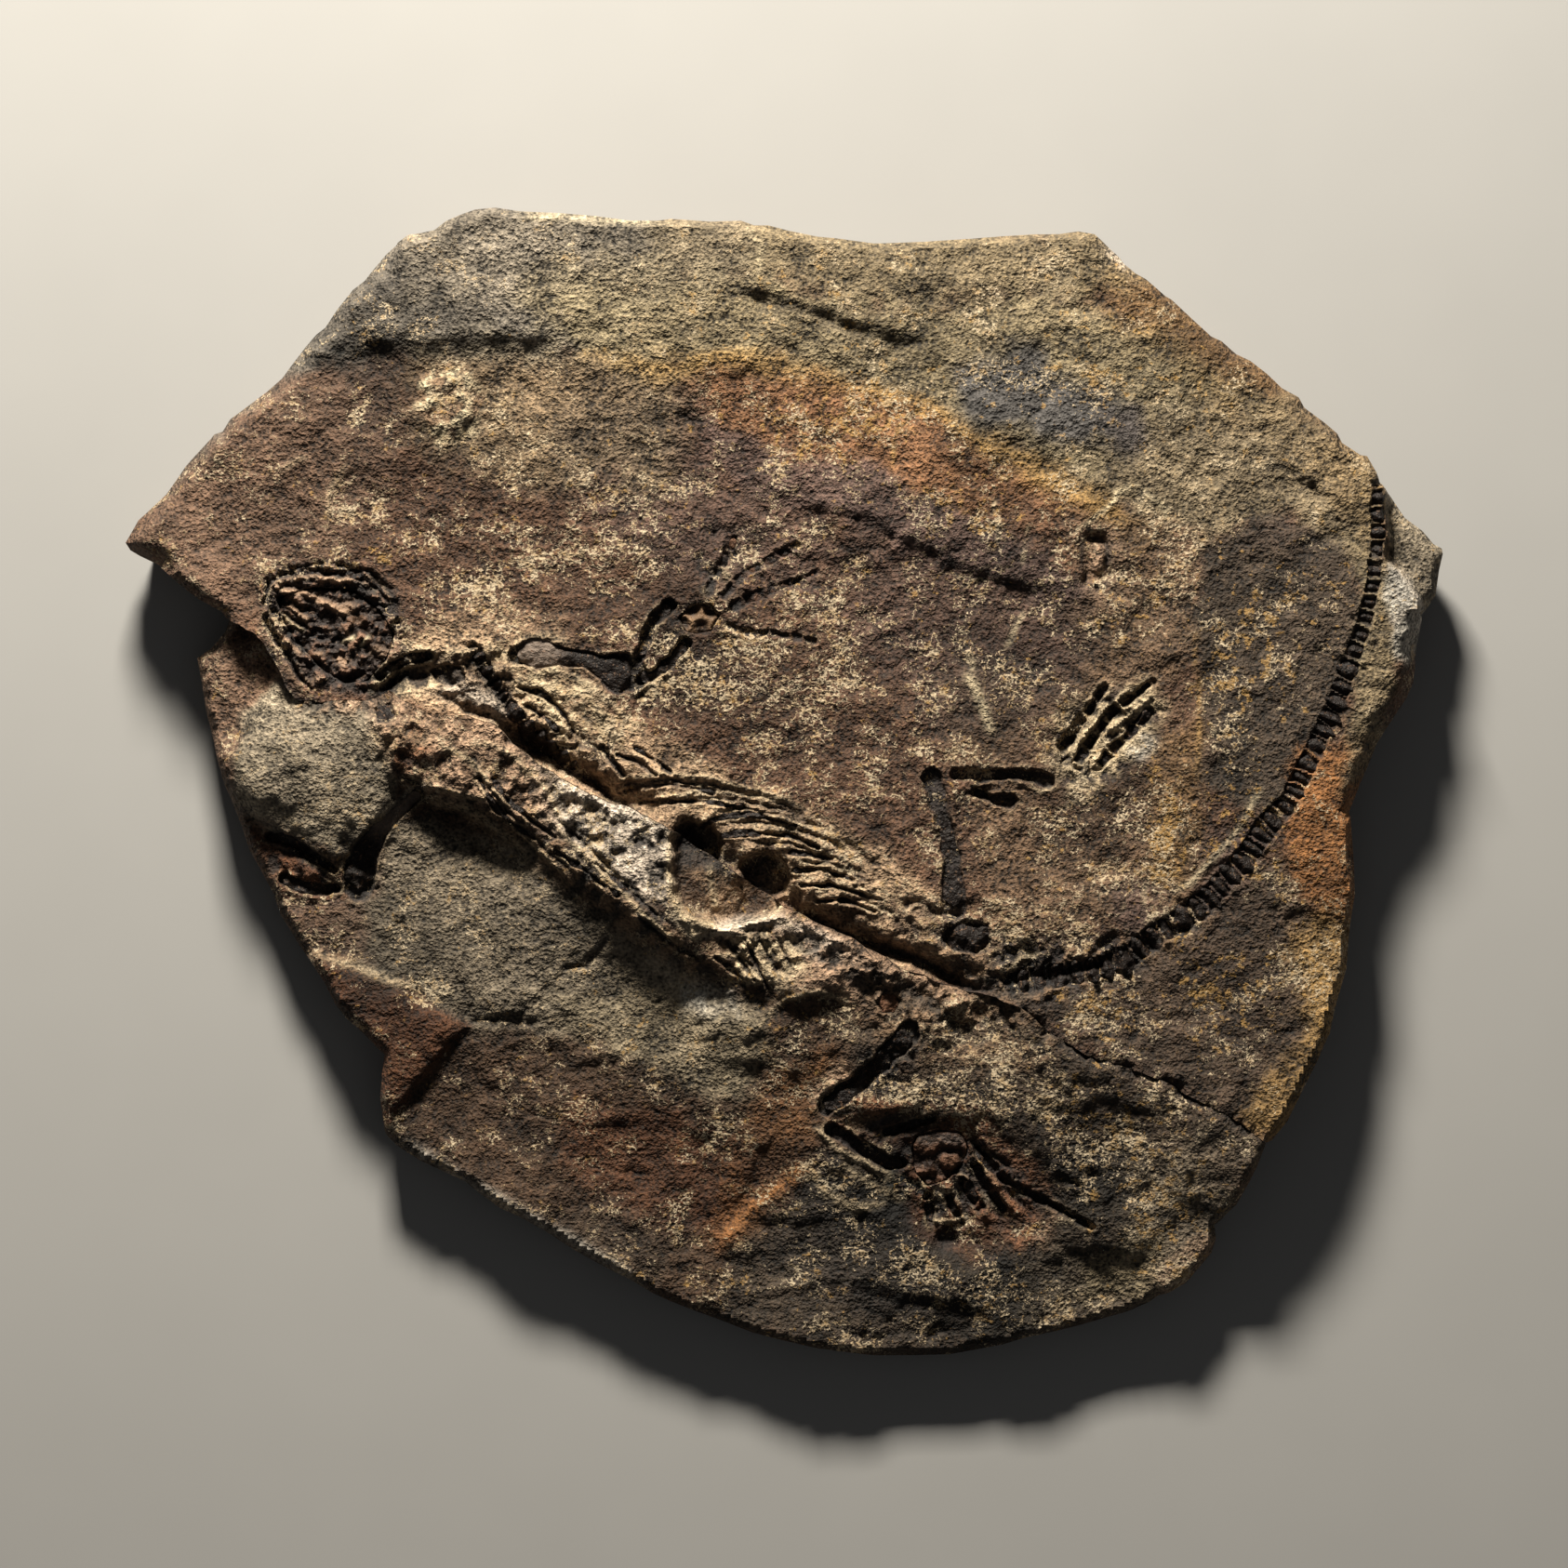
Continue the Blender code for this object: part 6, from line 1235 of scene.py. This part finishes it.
def stoneMaterial():
    look = stoneFinish
    stone = Finish("split mudstone", look["roughness"], 0.35)
    places = stone.places()
    tint = stone.attribute("stoneTint")
    cream, ochre, dark = stone.parts(stone.attribute("stoneFlecks"))
    grit = stone.noise(places, 0.55, 2.0, 0.6)
    grain = stone.noise(places, 1.15, 1.5, 0.5)
    crumbs = stone.noise(places, 0.24, 3.0, 0.6)
    lumps = stone.noise(places, 0.10, 3.0, 0.6)
    wide = stone.noise(places, 0.045, 4.0, 0.65)
    clusters = stone.noise(places, 0.09, 4.0, 0.7)
    darkField = stone.noise(places, 0.4, 3.0, 0.65)
    ochreField = stone.noise(places, 0.33, 3.5, 0.7)
    vein = (1.0 - (grit - 0.5).math("ABSOLUTE") * 9.0).clamped()
    crustField = grain * 0.3 + vein * 0.45 + crumbs * 0.5 + clusters * 1.5 + wide * 0.6
    crust = stone.band(crustField, 1.95 - cream * 0.5, 2.01 - cream * 0.5)
    stain = stone.band(ochreField + clusters * 0.4 + grain * 0.2, 0.97 - ochre * 0.26, 1.04 - ochre * 0.26)
    soot = stone.band(darkField + grain * 0.25, 0.82 - dark * 0.18, 0.87 - dark * 0.18)
    # Partly the stone's own grain tone and partly painted shade and highlight: the noises that raise the bump also
    # darken the low grains and pores and lighten the raised grains, as the raking light would.
    shade = (0.95 + (grain - 0.5) * 3.0 + (grit - 0.5) * 1.6 + (crumbs - 0.5) * 1.7 + (lumps - 0.5) * 1.8
             + (wide - 0.5) * 1.6)
    colour = stone.scaled(tint, stone.add("ShaderNodeClamp", {}, shade, 0.12, 2.6))
    colour = stone.mixed(colour, look["ochre"], stain * 0.6)
    colour = stone.mixed(colour, look["dark"], soot * 0.75)
    crustColour = stone.mixed(look["cream"], look["crustOchre"], stone.band(ochreField, 0.42, 0.58))
    colour = stone.mixed(colour, crustColour, crust * (0.05 + grain * 1.3).clamped())
    height = lumps * 1.8 + crumbs * 1.2 + grit * 0.9 + grain * 0.7 + crust * 0.45 - soot * 0.3
    roughness = 0.68 + grain * 0.3
    return stone.finish(colour, roughness, height, look["bumpDepth"])


boneFinish = {"bumpDepth": 0.001, "fleck": (0.20, 0.12, 0.075), "grey": (0.03, 0.024, 0.021)}


def boneMaterial(name, shine):
    look = boneFinish
    bone = Finish(name, 0.5, 0.18)
    places = bone.places()
    tint = bone.attribute("boneTint")
    grain = bone.noise(places, 1.1, 2.0, 0.6)
    lumps = bone.noise(places, 0.45, 3.0, 0.6)
    specks = bone.noise(places, 0.8, 3.0, 0.7)
    # Partly the bone's own mottling and partly painted light: the lumps and grains that raise the bump also lighten
    # the colour, and the highest lumps turn grey.
    colour = bone.scaled(tint, 0.25 + lumps * 0.9 + grain * 0.6)
    colour = bone.mixed(colour, look["grey"], bone.band(lumps, 0.5, 0.7) * 0.35)
    colour = bone.mixed(colour, look["fleck"], bone.band(specks, 0.58, 0.66) * 0.5)
    roughness = shine + grain * 0.4
    height = lumps * 0.8 + grain * 0.6
    return bone.finish(colour, roughness, height, look["bumpDepth"])


stone = stoneMaterial()
darkBone = boneMaterial("dark bone mineral", 0.36)
brownBone = boneMaterial("brown bone mineral", 0.4)
print("materials ready")

boneTints = {"black": (0.012, 0.009, 0.008), "grey": (0.06, 0.05, 0.045), "brown": (0.12, 0.06, 0.035),
             "greyBrown": (0.13, 0.10, 0.08), "wall": (0.17, 0.105, 0.06)}
boneMesh = {"along": 0.36, "across": 0.32, "skirt": 1.2, "tuck": 0.5, "beyond": 0.6, "flatCell": 0.34,
            "waist": 0.22, "tip": 0.12, "uneven": 0.2, "rough": {"plain": 0.35, "beaded": 0.7},
            "dip": {"plain": 0.2, "beaded": 0.8}, "headReach": {"humerus_north": 15, "humerus_south": 19}}


def boneLevel(x, y, half):
    height, _, _ = stoneSurface(x, y, half, plain=True)
    return height


def longBone(name):
    look = boneLook(name)
    half = inHalf(name)
    places = smoothLine(longBones[name], boneMesh["along"])
    widest = places[:, 2].max()
    acrossCount = max(5, round(2 * widest / boneMesh["across"]))
    bm = bmesh.new()
    bmesh.ops.create_grid(bm, x_segments=len(places) - 1, y_segments=acrossCount, size=1)
    u, v = np.array([vert.co[:2] for vert in bm.verts]).T
    steps = np.arange(len(places))
    stop = (u + 1) / 2 * (len(places) - 1)
    heading = np.gradient(places[:, :2], axis=0)
    heading /= np.hypot(*heading.T)[:, None]
    run = np.concatenate([[0], np.cumsum(np.hypot(*np.diff(places[:, :2], axis=0).T))])
    walked = np.interp(stop, steps, run)
    width = np.interp(stop, steps, places[:, 2]) * look.get("narrow", 1) + boneMesh["beyond"]
    jointWave = np.zeros(len(u))
    if look["joint"]:
        middleX = np.interp(stop, steps, places[:, 0])
        middleY = np.interp(stop, steps, places[:, 1])
        jointWave = np.cos(2 * math.pi * (walked / look["joint"] + jointWander(middleX, middleY)))
        width *= 1.0 - boneMesh["waist"] * jointWave
    fromEnd = np.minimum(walked, run[-1] - walked)
    rounding = np.sqrt(1 - (1 - np.clip(fromEnd / width, 0, 1)) ** 2)
    width = width * np.clip(rounding, boneMesh["tip"], 1)
    width *= 1 + boneMesh["uneven"] * layeredNoise(walked, v * 0.5 + 40, 2.2, 101, 2)
    turnX = np.interp(stop, steps, heading[:, 0])
    turnY = np.interp(stop, steps, heading[:, 1])
    x = np.interp(stop, steps, places[:, 0]) - turnY * width * v
    y = np.interp(stop, steps, places[:, 1]) + turnX * width * v
    z = boneLevel(x, y, half) - look["sink"] + look["bulge"] * (1 - v**2)
    form = "beaded" if name in ("tail", "spine_front") else "plain"
    z += boneMesh["rough"][form] * layeredNoise(x, y, 2.0, 111, 3) + 0.4 * layeredNoise(x, y, 5, 113, 2)
    z -= boneMesh["dip"][form] * jointWave
    z -= boneMesh["tuck"] * np.abs(v) ** 6
    for vert, *place in zip(bm.verts, x, y, z):
        vert.co = place
    tint = np.tile(np.array(boneTints["black"]), (len(x), 1))
    if look is boneLooks["humerus"]:
        mask = eased((boneMesh["headReach"][name] - walked) / 6)
        tint += (np.array(boneTints["greyBrown"]) - tint) * mask[:, None]
        z += 0.5 * mask * (1 - v**2)
    mottle = layeredNoise(x, y, 3, 123, 3)
    if name.startswith("finger"):
        tint += (np.array(boneTints["brown"]) - tint) * eased(0.3 + 1.4 * mottle)[:, None]
    tint *= (1 + 0.4 * mottle)[:, None]
    closeBelow(bm, boneMesh["skirt"])
    bonePiece(name, bm, tint, darkBone)


def bonePiece(name, bm, tint, material):
    piece = finishedPiece("fossil_" + name, bm, material)
    count = len(piece.data.vertices)
    whole = np.tile(tint.mean(axis=0), (count, 1))
    whole[:len(tint)] = tint
    addColours(piece.data, "boneTint", whole)
    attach(piece, "root")
    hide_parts(name)


# Cells of the wrist and ankle: lines of places, height, half width, tint
flatForms = {
    "wrist_north": [
        (at(744, 656, 745, 657), -1.3, 1.7, "black"),
        (at(764, 658, 765, 659), -1.3, 1.5, "black"),
        (at(754, 676, 755, 677), -1.3, 1.8, "black"),
        (at(736, 669, 738, 673), -1.2, 1.1, "black"),
        (at(771, 670, 769, 680), -0.8, 0.8, "black"),
        (at(752, 646, 760, 648), -0.9, 0.8, "black"),
    ],
    "ankle_south": [
        (at(984, 1246, 997, 1249), -0.9, 2.3, "black"),
        (at(1012, 1236, 1032, 1238, 1036, 1250, 1026, 1262, 1010, 1260, 1006, 1246, 1012, 1236), -1.1, 1.0, "black"),
        (at(990, 1222, 998, 1224), -0.3, 2.0, "grey"),
        (at(1014, 1220, 1030, 1222), -0.2, 2.6, "grey"),
        (at(988, 1268, 1003, 1266), -0.9, 1.2, "black"),
        (at(1018, 1270, 1026, 1262), -0.6, 0.9, "black"),
    ],
}
flatGrounds = {"skull": "black", "wrist_north": "wall", "ankle_south": "brown", "sacrum_knob": "brown"}


def flatBone(name):
    look = boneLook(name)
    half = inHalf(name)
    outline = flatBones[name]
    bm = trimmedGrid(smoothLoop(outline), boneMesh["flatCell"])
    x, y = np.array([v.co[:2] for v in bm.verts]).T
    away, _, _ = lineField(x, y, outline + outline[:1])
    z = boneLevel(x, y, half) - look["sink"] + look["bulge"] * eased(away / 3)
    z += 0.3 * layeredNoise(x, y, 1.8, 131, 3) + 0.2 * layeredNoise(x, y, 5, 133, 2)
    z -= boneMesh["tuck"] * eased(1 - away / 0.6)
    tint = np.tile(np.array(boneTints[flatGrounds.get(name, "black")]), (len(x), 1))
    if name == "skull":
        # the skull takes the stone's colour, with the painted shadows among its ridges
        _, tint, _ = stoneSurface(x, y, half, plain=True)
    for points, rise, halfWidth, colour in flatForms.get(name, []):
        near, lineAway, _, _ = nearLine(x, y, points, halfWidth * 2.5)
        form = eased(1.3 - lineAway / halfWidth * 0.8)
        z[near] += rise * form
        tint[near] += (np.array(boneTints[colour]) - tint[near]) * (0.9 * form)[:, None]
    for vert, *place in zip(bm.verts, x, y, z):
        vert.co = place
    tint *= (1 + 0.35 * layeredNoise(x, y, 2.4, 143, 3))[:, None]
    closeBelow(bm, boneMesh["skirt"])
    brown = name == "sacrum_knob"
    bonePiece(name, bm, tint, brownBone if brown else darkBone)


def smoothLoop(outline):  # rounds the corners of a closed outline
    points = np.array(outline, float)
    for _ in range(3):
        following = np.roll(points, -1, axis=0)
        pairs = [0.75 * points + 0.25 * following, 0.25 * points + 0.75 * following]
        points = np.stack(pairs, axis=1).reshape(-1, 2)
    return [(float(px), float(py)) for px, py in points]


makeSlab("upper", upperEdge, stone)
makeSlab("lower", lowerEdge, stone)
for boneName in longBones:
    longBone(boneName)
for boneName in flatBones:
    flatBone(boneName)
print("bones made")

# Floor, light and camera.

# Lights are (place, target, size, power, colour), in metres.
studio = {
    "floor": (0.34, 0.338, 0.332),
    "floorSize": 4000,
    "key": ((-0.16, 0.96, 0.52), (0, 0.0, 0), (0.26, 0.16), 38.0, (1.0, 0.93, 0.81)),
    "fill": ((0.3, -0.6, 1.6), (0, 0, 0), (1.6, 1.2), 0.5, (1.0, 0.98, 0.95)),
    "world": 0.05,
    "worldColour": (0.9, 0.9, 0.9, 1),
}

floorMesh = bmesh.new()
bmesh.ops.create_grid(floorMesh, x_segments=1, y_segments=1, size=studio["floorSize"])
floorFinish = Finish("pale floor", 0.6, 0.3)
floorShade = floorFinish.noise(floorFinish.places(), 0.02, 2.0)
floorColour = floorFinish.scaled(floorFinish.mixed(studio["floor"], studio["floor"], 0.0), 0.97 + floorShade * 0.06)
floorFinish.finish(floorColour, 0.55 + floorShade * 0.1, floorShade, 0.00005)
floor = finishedPiece("floor", floorMesh, floorFinish.material)


def addLight(name, place, target, size, power, colour):
    lamp = bpy.data.lights.new(name, "AREA")
    lamp.shape = "RECTANGLE"
    lamp.size, lamp.size_y = size
    lamp.energy = power
    lamp.color = colour
    holder = bpy.data.objects.new(name, lamp)
    holder.location = place
    holder.rotation_euler = (Vector(target) - Vector(place)).to_track_quat("-Z", "Y").to_euler()
    bpy.context.scene.collection.objects.link(holder)


addLight("key", *studio["key"])
addLight("fill", *studio["fill"])

bpy.context.scene.view_settings.view_transform = "Standard"
world = bpy.data.worlds.new("studio")
bpy.context.scene.world = world
world.use_nodes = True
background = world.node_tree.nodes["Background"]
background.inputs["Color"].default_value = studio["worldColour"]
background.inputs["Strength"].default_value = studio["world"]

view = {"height": 2.2, "face": 0.025, "width": 0.4195, "sensor": 36.0, "across": -0.00025}
camera = bpy.data.cameras.new("camera")
camera.sensor_width = view["sensor"]
camera.lens = view["sensor"] * (view["height"] - view["face"]) / view["width"]
cameraHolder = bpy.data.objects.new("camera", camera)
cameraHolder.location = (view["across"], 0.0, view["height"])
bpy.context.scene.collection.objects.link(cameraHolder)
bpy.context.scene.camera = cameraHolder
print("floor, lights and camera ready")
